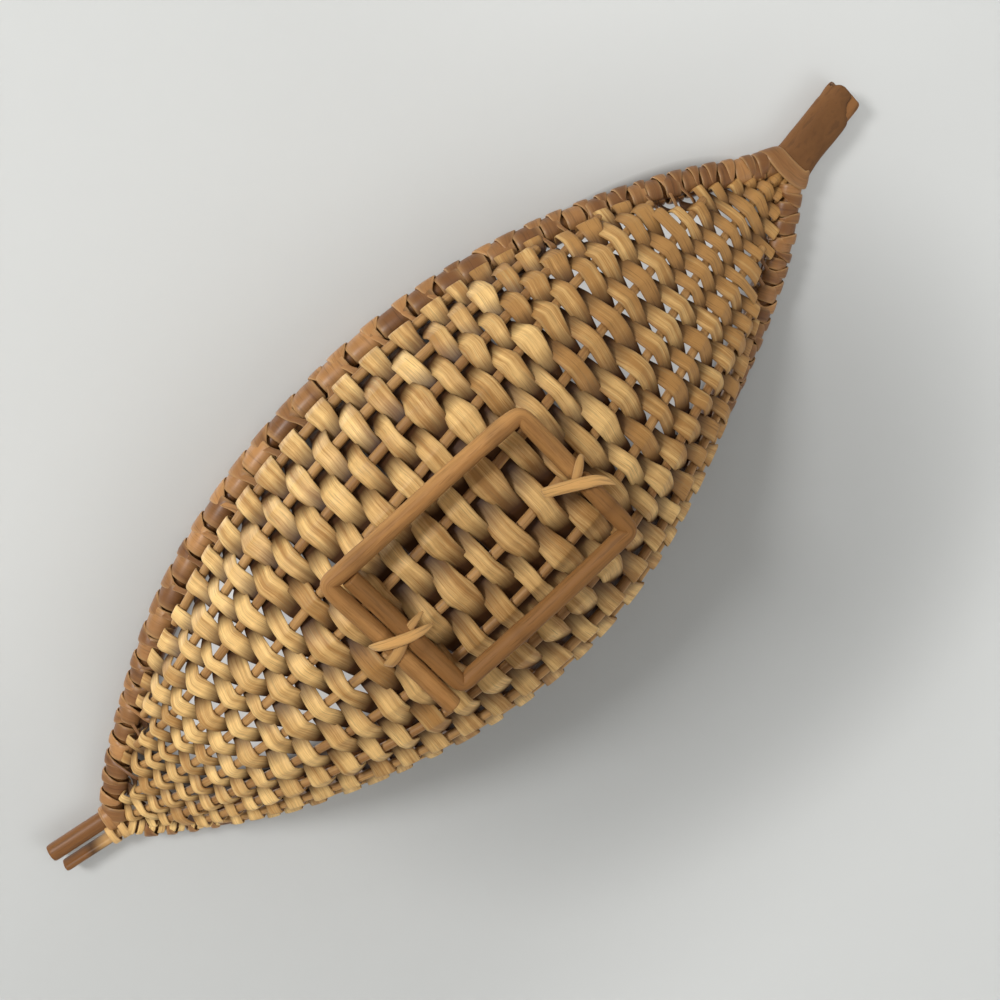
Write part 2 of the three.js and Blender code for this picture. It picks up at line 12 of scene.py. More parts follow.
import bmesh
import bpy
from mathutils import Matrix, Quaternion, Vector, noise


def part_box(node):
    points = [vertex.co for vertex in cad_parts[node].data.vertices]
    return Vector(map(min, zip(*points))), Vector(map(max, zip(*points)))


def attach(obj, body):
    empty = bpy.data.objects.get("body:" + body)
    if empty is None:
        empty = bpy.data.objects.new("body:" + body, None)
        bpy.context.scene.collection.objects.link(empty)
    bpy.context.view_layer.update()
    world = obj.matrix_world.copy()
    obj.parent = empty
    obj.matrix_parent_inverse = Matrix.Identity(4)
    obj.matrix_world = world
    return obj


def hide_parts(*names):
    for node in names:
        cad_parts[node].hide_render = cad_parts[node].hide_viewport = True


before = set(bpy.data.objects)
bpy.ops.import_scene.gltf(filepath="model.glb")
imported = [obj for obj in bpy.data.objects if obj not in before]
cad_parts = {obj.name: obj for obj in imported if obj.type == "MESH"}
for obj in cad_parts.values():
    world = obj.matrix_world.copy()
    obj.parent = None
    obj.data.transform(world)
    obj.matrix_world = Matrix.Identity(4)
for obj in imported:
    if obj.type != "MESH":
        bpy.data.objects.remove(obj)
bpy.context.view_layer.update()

# Hull, in millimetres
HALF_LENGTH = 175
HALF_WIDTH = 65.5
DEPTH = 66
KEEL_HEIGHT = 11.2
RIM_HEIGHT = KEEL_HEIGHT + DEPTH
SHEER = 2
LEFT_FULLNESS = (0.8, 1.08)
RIGHT_FULLNESS = (0.98, 2.05)
KEEL_FLATNESS = 2.26
WALL_SPREAD = 0.815
WALL_SQUARENESS = 0.806
KEEL_SWAY = -8
KEEL_BOW = -7
BACK_BELLY = 3.2
BELLY_AT = (-12, 62)
LEFT_SHIFT = 2
LEFT_SHIFT_AT = (-140, 30)
RIGHT_SHIFT = -2.4
RIGHT_SHIFT_SPAN = (150, 176)
WALL_TOP = 6

# Rods
RIM_RADIUS = 3.5
LEFT_STUB = {"length": 27, "front": 3.5, "back": 3.0, "lean": -5.5}
RIGHT_STUB = {"length": 31.5, "front": 2.7, "back": 2.7, "lean": -4.3}
TAPER_START = 0.8
SHEATH_STANDOFF = 1.7
SHEATH_BULGE = 0.9
SHEATH_RIPPLE = 0.25
SHEATH_GRID = (15, 19)
SHEATH_ENDS = (-3.6, -1.4)
SHEATH_FLAP_EDGE = 395
SHEATH_THICKNESS = 0.9
LASHING_THICKNESS = 0.8
TIE_THICKNESS = 0.6
PAIR_BLEND = 2.4
SPLIT_TURN = math.radians(252)
SPLIT_FACE = -0.7
SPLIT_START = 178
SPLIT_LEFT = 0.25
TIP_ROUNDING = 0.86
END_MARGIN = 0.4
KNOT_AT = 189
FIRST_KNOT = (0.3, 0.8)
KNOT_SPACING = (0.7, 1.4)
KNOT_RISE = (0.04, 0.1)
KNOT_SHADE = (0.1, 0.4)
DARKEST_KNOT = 0.6
KNOT_REACH = 2.2
ROD_WOBBLE = 0.03
WOBBLE_LENGTH = 14
RIM_CLEARANCE = 0.175
RIB_RADIUS = 2
RIB_TIP_RADIUS = 1.5
RIBS_PER_WALL = 5
LEFT_CLOSEST = 8.5
RIGHT_CLOSEST = 15
RIB_CHANGE = 0.3
RIB_EASE = 10
FRONT_RIB_LIFTS = {-1: (2.2, 0.03), -2: (2.0, 0.07), -3: (-0.6, 0.04), -4: (-2.9, 0.03), -5: (-2, 0.02)}
LIFTED_WALL = (45, 90)
RIB_TO_RIM = 12.5
KEEL_TO_RIM = 5.5

# Weave
WEAVE_CENTRE = -1.4
PITCH = 6.6
LEFT_FALL = (0.72, 2.0)
RIGHT_FALL = (0.78, 1.2)
LEAST_PITCH = 2.8
PASS_WEIGHTS = (0.78, 1.24)
PASS_TONES = (0.22, 0.72)
WANDER = 0.9
WANDER_LENGTHS = (24, 30)
SKEIN_THICKNESS = 0.75
SKEIN_WIDTH = 8.6
SKEIN_LENGTH = 900
WIDEST_SHARE = 1.6
MIDDLE_SHARES = (1.02, 1.2, 1.15, 0.0, 0.26)
LEFT_SHARES = (0.92, 1.24, 0.84, 0.13, 0.36)
RIGHT_SHARES = (1.2, 1.5, 1.02, 0.1, 0.32)
ENDS_FROM = (45, 110)
SHINGLING_TURNS = (-55, 0)
CREST_SPREAD = (0.76, 1.18)
MIDWAY_SPREAD = (0.88, 1.1)
DIP_SPREAD = (0.85, 1.1)
TILT_SPREAD = (0.6, 1.3)
CREST_WANDER = 0.12
GAP_WANDER = 0.08
FLAT_CAMBER = 0.12
RECESS_SHADE = 1.0
RECESS_HEIGHTS = (-1.6, 2.0)
BROWNER = {"from": 10, "to": 120, "tone": 0.6}
BARK_BROWNER = 0.7
TURN_TO_RIM = 16
MISSING_RIB_TO_RIM = 7
OUTER_CREST = 0.85
INNER_CREST = 1.7
CREASE = 0.7
TENT = 0.65
BAND_PITCHES = 1.93
BAND_STEPS = 16
BAND_START = 250
BAND_REACH = 0.9
BAND_SLANTS = (-0.2, 0.25)
BAND_SWELL = (0.9, 1.08)
BAND_SAG = 2.2
SAG_SPREAD = (0.6, 1.2)
FULL_SAG_WIDTH = 9
BAND_CAMBER = 0.035
BAND_SHADE = 2
FOLD_REACH = 1.7
FLAP_LEAN = (0.05, 0.2)
FLAP_PITCHES = 1.6
FLAP_WIDTHS = (5, 9.6)
FLAP_SPREAD = (0.75, 1.15)
FLAP_SLANT = 0.42
FLAP_TWIST = 0.3
PALE_TURNS = (-177, -148)
PALE_TURN_WIDTH = 2.8
PALE_TURN_SPREAD = (0.85, 1.1)
PALE_TURN_STEPS = (0.85, 1.05)
PALE_TURN_SLANT = 1.5
TIP = 169.5

# Foot
FOOT_LEFT = -46.45
FOOT_RIGHT = 38.05
FOOT_FRONT = -33.4
FOOT_BACK = 24.5
INNER_LEG = -39.3
FOOT_RADIUS = 3.4
FOOT_CORNER = 1.7
CORNER_PINCH = 0.14
PINCH_REACH = 2.5
RAIL_BOW = 0.35
RAIL_STEPS = 24
FRONT_SKEW = (-3.3, 0.5)
BACK_SKEW = (-1.3, 0.4)
LEG_OVERRUN = 2
RAIL_HEIGHT = 3.15
LEG_RISE = (0.25, 0.9)

# Camera and stage
CAMERA_DISTANCE = 700
CAMERA_TURNS = (0.356, 0.05, 0.012)
LEVEL_RIGHT = Vector((0.7117, 0.7025))
FOCAL_PIXELS = 1892.8
PICTURE = 1000
SENSOR = 36
LENS_AXIS = (454.9, 497.1)
TABLE_HEIGHT = 86.2
ACROSS_LIGHT = ((60, 0.0), (240, 0.27))
ALONG_LIGHT = ((-120, 0.16), (-30, 0.04), (40, 0.0), (140, 0.0), (260, 0.22))
LIGHT_SPAN = 600
HALF_SHADOW = {"centre": (40, 84), "reach": (185, 140), "depth": 0.25}
HULL_SHADOW = (165, 60)
# Painted shade colour on the table under the hull's middle.
HULL_SHADE_COLOUR = (0.04, 0.025, 0.014)
FLOOR_HEIGHT = -0.4
STAGE_SIZE = 2400
LAMP_TARGET = 40

MM = 0.001
QUARTER = math.pi / 2
FULL_TURN = 2 * math.pi
ORIGIN_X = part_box("rim_rod_front")[0].x / MM + HALF_LENGTH + LEFT_STUB["length"]


def lerp(a, b, share):
    return a + (b - a) * share


def clamp(value, low, high):
    return min(max(value, low), high)


def smoothstep(value, low, high):
    share = clamp((value - low) / (high - low), 0, 1)
    return share * share * (3 - 2 * share)


def bell(value, centre, width):
    """1 at the centre, and falling away smoothly on both sides."""
    return math.exp(-(((value - centre) / width) ** 2))


def neighbours(items, i):
    """The items before and after one, or the item itself at an end."""
    return items[max(i - 1, 0)], items[min(i + 1, len(items) - 1)]


def place(point):
    """A point of the maker's frame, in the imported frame."""
    return Vector((point.x + ORIGIN_X, point.y, point.z)) * MM


def add_object(name, data):
    """A new object in the scene for a mesh, a lamp or a camera."""
    item = bpy.data.objects.new(name, data)
    bpy.context.scene.collection.objects.link(item)
    return item


def node_span(node):
    """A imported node's two ends along the hull, in the maker's frame."""
    return [corner.x / MM - ORIGIN_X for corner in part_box(node)]


# Hull surface


def stub_at(x):
    return LEFT_STUB if x < 0 else RIGHT_STUB


def rim_radius(x, wall):
    side = "front" if wall < 0 else "back"
    share = smoothstep(abs(x) / HALF_LENGTH, TAPER_START, 1)
    return lerp(RIM_RADIUS, stub_at(x)[side], share)


def end_shift(x):
    """The sideways wander of the hull near its ends."""
    return LEFT_SHIFT * bell(x, *LEFT_SHIFT_AT) + RIGHT_SHIFT * smoothstep(x, *RIGHT_SHIFT_SPAN)


def hull_point(x, angle):
    """A point of the hull: -90 degrees is the front rim, 0 the keel and 90 the back rim."""
    along = clamp(x / HALF_LENGTH, -1, 1)
    t = abs(along)
    rim_fullness, keel_fullness = LEFT_FULLNESS if x < 0 else RIGHT_FULLNESS
    wall = math.copysign(1, angle)
    bow = HALF_WIDTH * (1 - t**2) ** rim_fullness
    width = math.hypot(bow, rim_radius(x, wall) + RIM_CLEARANCE)
    depth = DEPTH * (1 - t**KEEL_FLATNESS) ** keel_fullness
    out = abs(math.sin(angle))
    down = max(math.cos(angle), 0)
    drift = (KEEL_SWAY * along + KEEL_BOW * along**2) * (1 - t**2) * down
    squareness = lerp(WALL_SQUARENESS, 1, t**2)
    y = wall * width * out**WALL_SPREAD + drift + end_shift(x)
    if wall > 0:
        y += BACK_BELLY * bell(x, *BELLY_AT) * math.sin(min(angle, QUARTER)) * down * 2
    return Vector((x, y, RIM_HEIGHT + SHEER * t**2 - depth * down**squareness))


COLUMN_STEP = 1.0
SECTION_STEPS = 40


@lru_cache(None)
def wall_lengths(column, wall):
    """Lengths along one wall's cross-section, from the keel to each of its angles."""
    angles = [wall * (i * QUARTER / SECTION_STEPS + 1e-6) for i in range(SECTION_STEPS + 1)]
    points = [hull_point(column * COLUMN_STEP, angle) for angle in angles]
    steps = [(b - a).length for a, b in zip(points, points[1:])]
    return list(accumulate(steps, initial=0.0))


def wall_of(distance):
    return -1 if distance < 0 else 1


def wall_total(x, wall):
    column = math.floor(x / COLUMN_STEP)
    share = x / COLUMN_STEP - column
    return lerp(wall_lengths(column, wall)[-1], wall_lengths(column + 1, wall)[-1], share)


def angle_in(column, wall, reach):
    lengths = wall_lengths(column, wall)
    reach = min(reach, lengths[-1])
    i = clamp(bisect(lengths, reach), 1, SECTION_STEPS)
    share = (reach - lengths[i - 1]) / (lengths[i] - lengths[i - 1])
    return (i - 1 + share) * QUARTER / SECTION_STEPS


def surface_point(x, distance):
    """The hull's point at a distance from the keel along the cross-section at x."""
    wall = wall_of(distance)
    column = math.floor(x / COLUMN_STEP)
    share = x / COLUMN_STEP - column
    near, far = (angle_in(column + step, wall, abs(distance)) for step in (0, 1))
    return hull_point(x, wall * max(lerp(near, far, share), 1e-6))


def surface_normal(x, distance, reach=1.5):
    """The direction out of the hull."""
    wall = wall_of(distance)
    far = min(abs(distance) + reach, wall_total(x, wall))
    across = wall * (surface_point(x, wall * far) - surface_point(x, wall * (far - 2 * reach)))
    share = distance / wall_total(x, wall)
    before, after = (
        surface_point(x + step, share * wall_total(x + step, wall)) for step in (-1, 1)
    )
    return across.cross(after - before).normalized()


def rib_pitch(x, wall):
    share = smoothstep(x / HALF_LENGTH, -RIB_CHANGE, RIB_CHANGE)
    closest = lerp(LEFT_CLOSEST, RIGHT_CLOSEST, share)
    even = wall_total(x, wall) / (RIBS_PER_WALL + 1)
    return (even**RIB_EASE + closest**RIB_EASE) ** (1 / RIB_EASE)


def rib_distance(x, rib):
    """A rib's place; the front wall's ribs lie unevenly in the middle of the hull."""
    wall = wall_of(rib)
    lift, slope = FRONT_RIB_LIFTS.get(rib, (0, 0))
    return rib * rib_pitch(x, wall) - (lift + slope * x) * smoothstep(wall_total(x, wall), *LIFTED_WALL)


def rib_radius(x):
    return lerp(RIB_RADIUS, RIB_TIP_RADIUS, abs(x) / HALF_LENGTH)


RIBS = range(-RIBS_PER_WALL, RIBS_PER_WALL + 1)


def woven_ribs(x):
    """The ribs that have room between the rims at x."""
    front, back = -wall_total(x, -1), wall_total(x, 1)
    return [
        rib
        for rib in RIBS
        if min(rib_distance(x, rib) - front, back - rib_distance(x, rib))
        >= (RIB_TO_RIM if rib else KEEL_TO_RIM)
    ]


def stub_lean(x):
    stub = stub_at(x)
    return stub["lean"] * max(abs(x) - HALF_LENGTH, 0) / stub["length"]


def rim_centre(x, wall):
    point = hull_point(clamp(x, -HALF_LENGTH, HALF_LENGTH), wall * QUARTER)
    return Vector((x, point.y + stub_lean(x), point.z))


def rim_frame(x, wall):
    """Directions at a rim rod: along it, up past the wall, and out of the hull."""
    along = (rim_centre(x + 0.5, wall) - rim_centre(x - 0.5, wall)).normalized()
    inside_x = clamp(x, 1 - HALF_LENGTH, HALF_LENGTH - 1)
    total = wall_total(inside_x, wall)
    below = surface_point(inside_x, wall * max(total - WALL_TOP, 0.5 * total))
    up = rim_centre(inside_x, wall) - below
    up = (up - along * up.dot(along)).normalized()
    outward = up.cross(along) * wall
    return along, up, outward.normalized()


def rim_point(x, wall, degrees, reach):
    """A point round a rim rod and its direction from the rod: 0 is outside, 90 on top, 180 inside."""
    _, up, outward = rim_frame(x, wall)
    turn = math.radians(degrees)
    radial = outward * math.cos(turn) + up * math.sin(turn)
    return rim_centre(x, wall) + radial * (rim_radius(x, wall) + reach), radial


# Meshes

Ring = namedtuple("Ring", "centre normal width twist camber shift shade", defaults=(0, 0.25, 0, 0))
ACROSS = (-1, -0.5, 0, 0.5, 1)


class Mesh:
    """A mesh in the making, with a UV map in millimetres and values for the materials."""

    def __init__(self):
        self.bm = bmesh.new()
        self.uv = self.bm.loops.layers.uv.new("UVMap")
        self.values = {
            name: self.bm.verts.layers.float.new(name) for name in ("tone", "edge", "mark_and_shade")
        }

    def sheet(self, rows, columns):
        """A grid of vertices, row by row."""
        made = bmesh.ops.create_grid(
            self.bm, x_segments=columns - 1, y_segments=rows - 1, size=1
        )["verts"]
        return [made[i * columns : (i + 1) * columns] for i in range(rows)]

    def lay(self, grid, points, maps, tone, edges, marks_and_shade, slot):
        """Moves a grid's vertices to their places, and writes their UVs and values."""
        uv_of = {}
        for row, point_row, map_row, mark_and_shade in zip(grid, points, maps, marks_and_shade):
            for vert, point, uv, edge in zip(row, point_row, map_row, edges):
                vert.co = place(point)
                vert[self.values["tone"]] = tone
                vert[self.values["edge"]] = edge
                vert[self.values["mark_and_shade"]] = mark_and_shade
                uv_of[vert] = uv
        for face in {face for row in grid for vert in row for face in vert.link_faces}:
            face.smooth = True
            face.material_index = slot
            for loop in face.loops:
                loop[self.uv].uv = uv_of[loop.vert]

    def strip(self, rings, tone, slot=0, start=0.0):
        """A flat skein through a list of rings; its face looks along their normals."""
        grid = self.sheet(len(rings), len(ACROSS))
        points, maps = [], []
        length = start
        for i, ring in enumerate(rings):
            before, after = neighbours(rings, i)
            travel = (after.centre - before.centre).normalized()
            side = travel.cross(ring.normal).normalized()
            face = side.cross(travel)
            turn = Quaternion(travel, ring.twist)
            side, face = turn @ side, turn @ face
            if i:
                length += (ring.centre - rings[i - 1].centre).length
            points.append(
                [
                    ring.centre
                    + side * (q * ring.width / 2 + ring.shift)
                    + face * ring.camber * (1 - q * q)
                    for q in ACROSS
                ]
            )
            maps.append([(length, start + q * ring.width / 2) for q in ACROSS])
        edges = [abs(q) for q in ACROSS]
        self.lay(grid, points, maps, tone, edges, [ring.shade for ring in rings], slot)

    def rod(self, centres, radii, sides, tone, marks_and_shade, start, flats=None):
        """A round rod with closed ends; a flat is how much of the radius is left below the split face."""
        grid = self.sheet(len(centres), sides + 1)
        points, maps = [], []
        length = start
        for i, centre in enumerate(centres):
            before, after = neighbours(centres, i)
            ahead = (after - before).normalized()
            side = Vector((0, 0, 1)).cross(ahead).normalized()
            top = ahead.cross(side)
            if i:
                length += (centre - centres[i - 1]).length
            row, map_row = [], []
            for j in range(sides + 1):
                turn = FULL_TURN * (j % sides) / sides
                radius = radii[i]
                facing = math.cos(turn - SPLIT_TURN)
                if flats and facing > 0:
                    radius = min(radius, radius * flats[i] / max(facing, 0.05))
                row.append(centre + (side * math.sin(turn) + top * math.cos(turn)) * radius)
                map_row.append((length, start + FULL_TURN * j / sides * RIM_RADIUS))
            points.append(row)
            maps.append(map_row)
        bare = [(radius < 0.9) * smoothstep(i, 3, 6) for i, radius in enumerate(flats or ())]
        turns = [FULL_TURN * j / sides for j in range(sides + 1)]
        split = [float(math.cos(turn - SPLIT_TURN) > SPLIT_FACE) for turn in turns]
        self.lay(grid, points, maps, tone, [0] * (sides + 1), marks_and_shade, 0)
        for row, share in zip(grid, bare):
            for vert, pale in zip(row, split):
                vert[self.values["edge"]] = pale * share
        bmesh.ops.remove_doubles(self.bm, verts=[v for row in grid for v in row], dist=1e-6)
        rim = [edge for edge in self.bm.edges if edge.is_boundary]
        bmesh.ops.holes_fill(self.bm, edges=rim)
        bmesh.ops.recalc_face_normals(self.bm, faces=self.bm.faces)

    def finish(self, name, materials, thickness=0, levels=1):
        mesh = bpy.data.meshes.new(name)
        self.bm.to_mesh(mesh)
        self.bm.free()
        for face in mesh.polygons:
            face.use_smooth = True
        piece = add_object(name, mesh)
        for material in materials:
            mesh.materials.append(material)
        if thickness:
            wall = piece.modifiers.new("thickness", "SOLIDIFY")
            wall.thickness = thickness * MM
            wall.offset = 0
            wall.material_offset = 1
            wall.material_offset_rim = 0
        if levels:
            smooth = piece.modifiers.new("smooth", "SUBSURF")
            smooth.levels = smooth.render_levels = levels
        return piece


def dress(piece, slot, *nodes):
    """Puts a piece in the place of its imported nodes."""
    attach(piece, "root")
    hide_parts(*nodes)
    return piece


# Materials

WHITE = (1, 1, 1)
BLACK = (0, 0, 0)
SLOW_CONTRAST = 1.2
STRAND_SHARE = 0.42
EDGE_SHARE = 0.28


def add_node(tree, kind, **settings):
    node = tree.nodes.new(kind)
    for key, value in settings.items():
        setattr(node, key, value)
    return node


def link(tree, output, socket):
    tree.links.new(output, socket)


def math_node(tree, operation, a, b=None, clamped=False):
    node = add_node(tree, "ShaderNodeMath", operation=operation, use_clamp=clamped)
    for socket, value in zip(node.inputs, (a, b)):
        if value is None:
            continue
        if isinstance(value, (int, float)):
            socket.default_value = value
        else:
            link(tree, value, socket)
    return node.outputs[0]


def build_grain_group():
    """Fibres along a strip or rod: fine lines, broad streaks and a slow change of tone."""
    group = bpy.data.node_groups.new("willow_grain", "ShaderNodeTree")
    for name, kind in (("Vector", "Vector"), ("Lines", "Float"), ("Stretch", "Float")):
        group.interface.new_socket(name, in_out="INPUT", socket_type=f"NodeSocket{kind}")
    for name in ("Fine", "Broad", "Slow"):
        group.interface.new_socket(name, in_out="OUTPUT", socket_type="NodeSocketFloat")
    source = add_node(group, "NodeGroupInput")
    sink = add_node(group, "NodeGroupOutput")
    for name, share, detail in (("Fine", 1.0, 3.0), ("Broad", 0.22, 2.0), ("Slow", 0.05, 1.0)):
        across = math_node(group, "MULTIPLY", source.outputs["Lines"], share)
        along = math_node(group, "DIVIDE", across, source.outputs["Stretch"])
        scale = add_node(group, "ShaderNodeCombineXYZ")
        link(group, along, scale.inputs["X"])
        link(group, across, scale.inputs["Y"])
        stretched = add_node(group, "ShaderNodeVectorMath", operation="MULTIPLY")
        link(group, source.outputs["Vector"], stretched.inputs[0])
        link(group, scale.outputs[0], stretched.inputs[1])
        texture = add_node(group, "ShaderNodeTexNoise", noise_dimensions="2D")
        texture.inputs["Scale"].default_value = 1.0
        texture.inputs["Detail"].default_value = detail
        texture.inputs["Roughness"].default_value = 0.6
        link(group, stretched.outputs[0], texture.inputs["Vector"])
        link(group, texture.outputs["Fac"], sink.inputs[name])
    return group


GRAIN = build_grain_group()


def ramp(tree, factor, stops, interpolation="LINEAR"):
    node = add_node(tree, "ShaderNodeValToRGB")
    node.color_ramp.interpolation = interpolation
    elements = node.color_ramp.elements
    while len(elements) < len(stops):
        elements.new(0.5)
    for element, (position, colour) in zip(elements, stops):
        element.position = position
        element.color = (*colour, 1)
    link(tree, factor, node.inputs["Fac"])
    return node.outputs["Color"]


def mix_colour(tree, factor, a, b, blend="MIX"):
    node = add_node(tree, "ShaderNodeMix", data_type="RGBA", blend_type=blend)
    for socket, value in ((node.inputs[0], factor), (node.inputs[6], a), (node.inputs[7], b)):
        if isinstance(value, (int, float)):
            socket.default_value = value
        elif isinstance(value, tuple):
            socket.default_value = (*value, 1)
        else:
            link(tree, value, socket)
    return node.outputs[2]


def attribute(tree, name):
    node = add_node(tree, "ShaderNodeAttribute", attribute_type="GEOMETRY", attribute_name=name)
    return node.outputs["Fac"]


def object_axes(tree):
    """The X, Y and Z of the Object coordinates."""
    parts = add_node(tree, "ShaderNodeSeparateXYZ")
    link(tree, add_node(tree, "ShaderNodeTexCoord").outputs["Object"], parts.inputs[0])
    return parts.outputs


def willow(
    name, pale, deep, dark, lines, stretch, contrast, roughness,
    sheen=0.0, coat=0.0, tint=None, depth=0.12, mark_and_shade_share=1.0,
):
    """A willow finish: a pale and a deep colour by grain and tone, with dark fibres, tinted edges, and
    dark marks that are knots and worn places on the rods and painted shade on the weave, in its recesses
    and under the rim rods.
    """
    material = bpy.data.materials.new(name)
    material.use_nodes = True
    tree = material.node_tree
    shader = tree.nodes["Principled BSDF"]
    uv = add_node(tree, "ShaderNodeUVMap", uv_map="UVMap")
    grain = add_node(tree, "ShaderNodeGroup", node_tree=GRAIN)
    grain.inputs["Lines"].default_value = lines
    grain.inputs["Stretch"].default_value = stretch
    link(tree, uv.outputs[0], grain.inputs["Vector"])
    mixed = attribute(tree, "tone")
    for layer, share in (("Slow", SLOW_CONTRAST), ("Broad", contrast), ("Fine", contrast)):
        swing = math_node(tree, "SUBTRACT", grain.outputs[layer], 0.5)
        mixed = math_node(tree, "ADD", mixed, math_node(tree, "MULTIPLY", swing, share))
    colour = ramp(tree, mixed, ((0.05, pale), (0.95, deep)))
    strands = ramp(tree, grain.outputs["Fine"], ((0.32, WHITE), (0.47, BLACK)))
    colour = mix_colour(tree, math_node(tree, "MULTIPLY", strands, STRAND_SHARE), colour, dark)
    edge = math_node(tree, "POWER", attribute(tree, "edge"), 4)
    edge_colour, edge_share = tint or (dark, EDGE_SHARE)
    colour = mix_colour(tree, math_node(tree, "MULTIPLY", edge, edge_share), colour, edge_colour)
    # Darken by the marks: knots and worn places are the willow's own colour, and on the weave this is
    # painted shade in the recesses and under the rim rods.
    mark_and_shade = math_node(tree, "MULTIPLY", attribute(tree, "mark_and_shade"), mark_and_shade_share)
    colour = mix_colour(tree, mark_and_shade, colour, dark)
    link(tree, colour, shader.inputs["Base Color"])
    values = {
        "Roughness": roughness, "Specular IOR Level": 0.22, "Sheen Weight": sheen,
        "Coat Weight": coat, "Coat Roughness": 0.3,
    }
    for socket, value in values.items():
        shader.inputs[socket].default_value = value
    streaks = math_node(tree, "MULTIPLY", grain.outputs["Broad"], 2.0)
    height = math_node(tree, "ADD", grain.outputs["Fine"], streaks)
    bump = add_node(tree, "ShaderNodeBump")
    bump.inputs["Strength"].default_value = 0.6
    bump.inputs["Distance"].default_value = depth * MM
    link(tree, height, bump.inputs["Height"])
    link(tree, bump.outputs[0], shader.inputs["Normal"])
    return material


STRAW = willow(
    "split_willow", (0.82, 0.54, 0.215), (0.38, 0.195, 0.06), (0.05, 0.02, 0.007),
    lines=1.8, stretch=26, contrast=1.6, roughness=0.5,
)
# Bark: its pale edge tint is partly pale worn edges and partly a painted highlight along the folded edges
# of the bands and flaps; its painted shade is cut to a quarter.
BARK = willow(
    "willow_bark", (0.4, 0.195, 0.068), (0.16, 0.066, 0.021), (0.03, 0.012, 0.005),
    lines=0.8, stretch=14, contrast=0.9, roughness=0.42, coat=0.1, depth=0.08,
    tint=((0.5, 0.3, 0.13), 0.5), mark_and_shade_share=0.25,
)
RIB_WOOD = willow(
    "rib_willow", (0.54, 0.31, 0.115), (0.25, 0.12, 0.04), (0.08, 0.036, 0.014),
    lines=1.1, stretch=20, contrast=0.9, roughness=0.5, depth=0.1,
)
RIM_WOOD = willow(
    "rim_willow", (0.25, 0.105, 0.03), (0.13, 0.052, 0.015), (0.06, 0.025, 0.009),
    lines=0.8, stretch=24, contrast=0.6, roughness=0.45, coat=0.05, depth=0.05,
    tint=((0.5, 0.29, 0.11), 0.9),
)
FOOT_WOOD = willow(
    "foot_willow", (0.58, 0.31, 0.105), (0.28, 0.135, 0.042), (0.1, 0.042, 0.014),
    lines=1.0, stretch=16, contrast=1.1, roughness=0.6, depth=0.16,
)
SHEATH_BARK = willow(
    "sheath_bark", (0.23, 0.1, 0.032), (0.1, 0.042, 0.013), (0.04, 0.017, 0.007),
    lines=0.35, stretch=3, contrast=0.6, roughness=0.75, depth=0.1,
)
TIE_STRAW = willow(
    "tie_willow", (0.66, 0.4, 0.15), (0.34, 0.17, 0.055), (0.13, 0.058, 0.02),
    lines=1.6, stretch=22, contrast=0.8, roughness=0.5, sheen=0.1,
)


# Weave: the passes and their places


def pitch_at(x):
    fall, power = LEFT_FALL if x < 0 else RIGHT_FALL
    return max(LEAST_PITCH, PITCH * (1 - fall * (abs(x) / HALF_LENGTH) ** power))


def browner_at(x):
    """The tone runs deeper and browner towards the right end."""
    return BROWNER["tone"] * smoothstep(x, BROWNER["from"], BROWNER["to"])


Pass = namedtuple("Pass", "x pitch index tone weight")


def lay_out_passes():
    """The weavers' places, set out from the middle to both ends, each with its own weight."""
    chance = random.Random(11)
    places = []
    for end in (-1, 1):
        x = WEAVE_CENTRE + end * PITCH / 2
        while abs(x) < TIP and 0 in woven_ribs(x):
            weight = chance.uniform(*PASS_WEIGHTS)
            places.append((x, weight))
            x += end * pitch_at(x) * (1 + (weight - 1) * 0.6)
    places.sort()
    middle = next(i for i, (x, _) in enumerate(places) if x > WEAVE_CENTRE)
    passes = []
    for i, (x, weight) in enumerate(places):
        before, after = neighbours(places, i)
        pitch = (after[0] - before[0]) / (2 if 0 < i < len(places) - 1 else 1)
        tone = chance.uniform(*PASS_TONES) + browner_at(x)
        passes.append(Pass(x, pitch, i - middle, tone, weight))
    return passes


PASSES = lay_out_passes()


def side_of(index, rib):
    """1 where a pass lies outside a rib, and -1 where it lies inside."""
    return -1 if (index + rib) % 2 == 0 else 1


def drift_at(x, distance):
    """The weavers' handmade wander along the length; neighbours wander together."""
    along, across = WANDER_LENGTHS
    return WANDER * noise.noise(Vector((x / along, distance / across, 3.7)))


def hull_ring(this, distance, height, width, twist=0, camber=FLAT_CAMBER, shift=0):
    """A ring of a weaver at a height over the hull, with shade painted darker where it dips behind the
    ribs.
    """
    x = this.x + drift_at(this.x, distance)
    normal = surface_normal(x, distance)
    centre = surface_point(x, distance) + normal * height
    # Painted shade in the recesses behind the ribs.
    shade = RECESS_SHADE * smoothstep(-height, *RECESS_HEIGHTS)
    return Ring(centre, normal, width, twist, camber, shift, shade)


def towards_ends(x):
    """0 in the middle of the hull and 1 towards its ends."""
    return smoothstep(abs(x), *ENDS_FROM)


def shingle_side(x):
    """The sign of the shingling: each weaver's outer edge lies over its neighbour."""
    return 2 * smoothstep(x, *SHINGLING_TURNS) - 1


Shares = namedtuple("Shares", "crest midway dip slide tilt")


def shares_at(x):
    """A weaver's widths in pitches at a crest, midway and inside a rib, its sideways step and its tilt."""
    ends = LEFT_SHARES if x < 0 else RIGHT_SHARES
    return Shares(*(lerp(a, b, towards_ends(x)) for a, b in zip(MIDDLE_SHARES, ends)))


Support = namedtuple("Support", "distance height width slide")


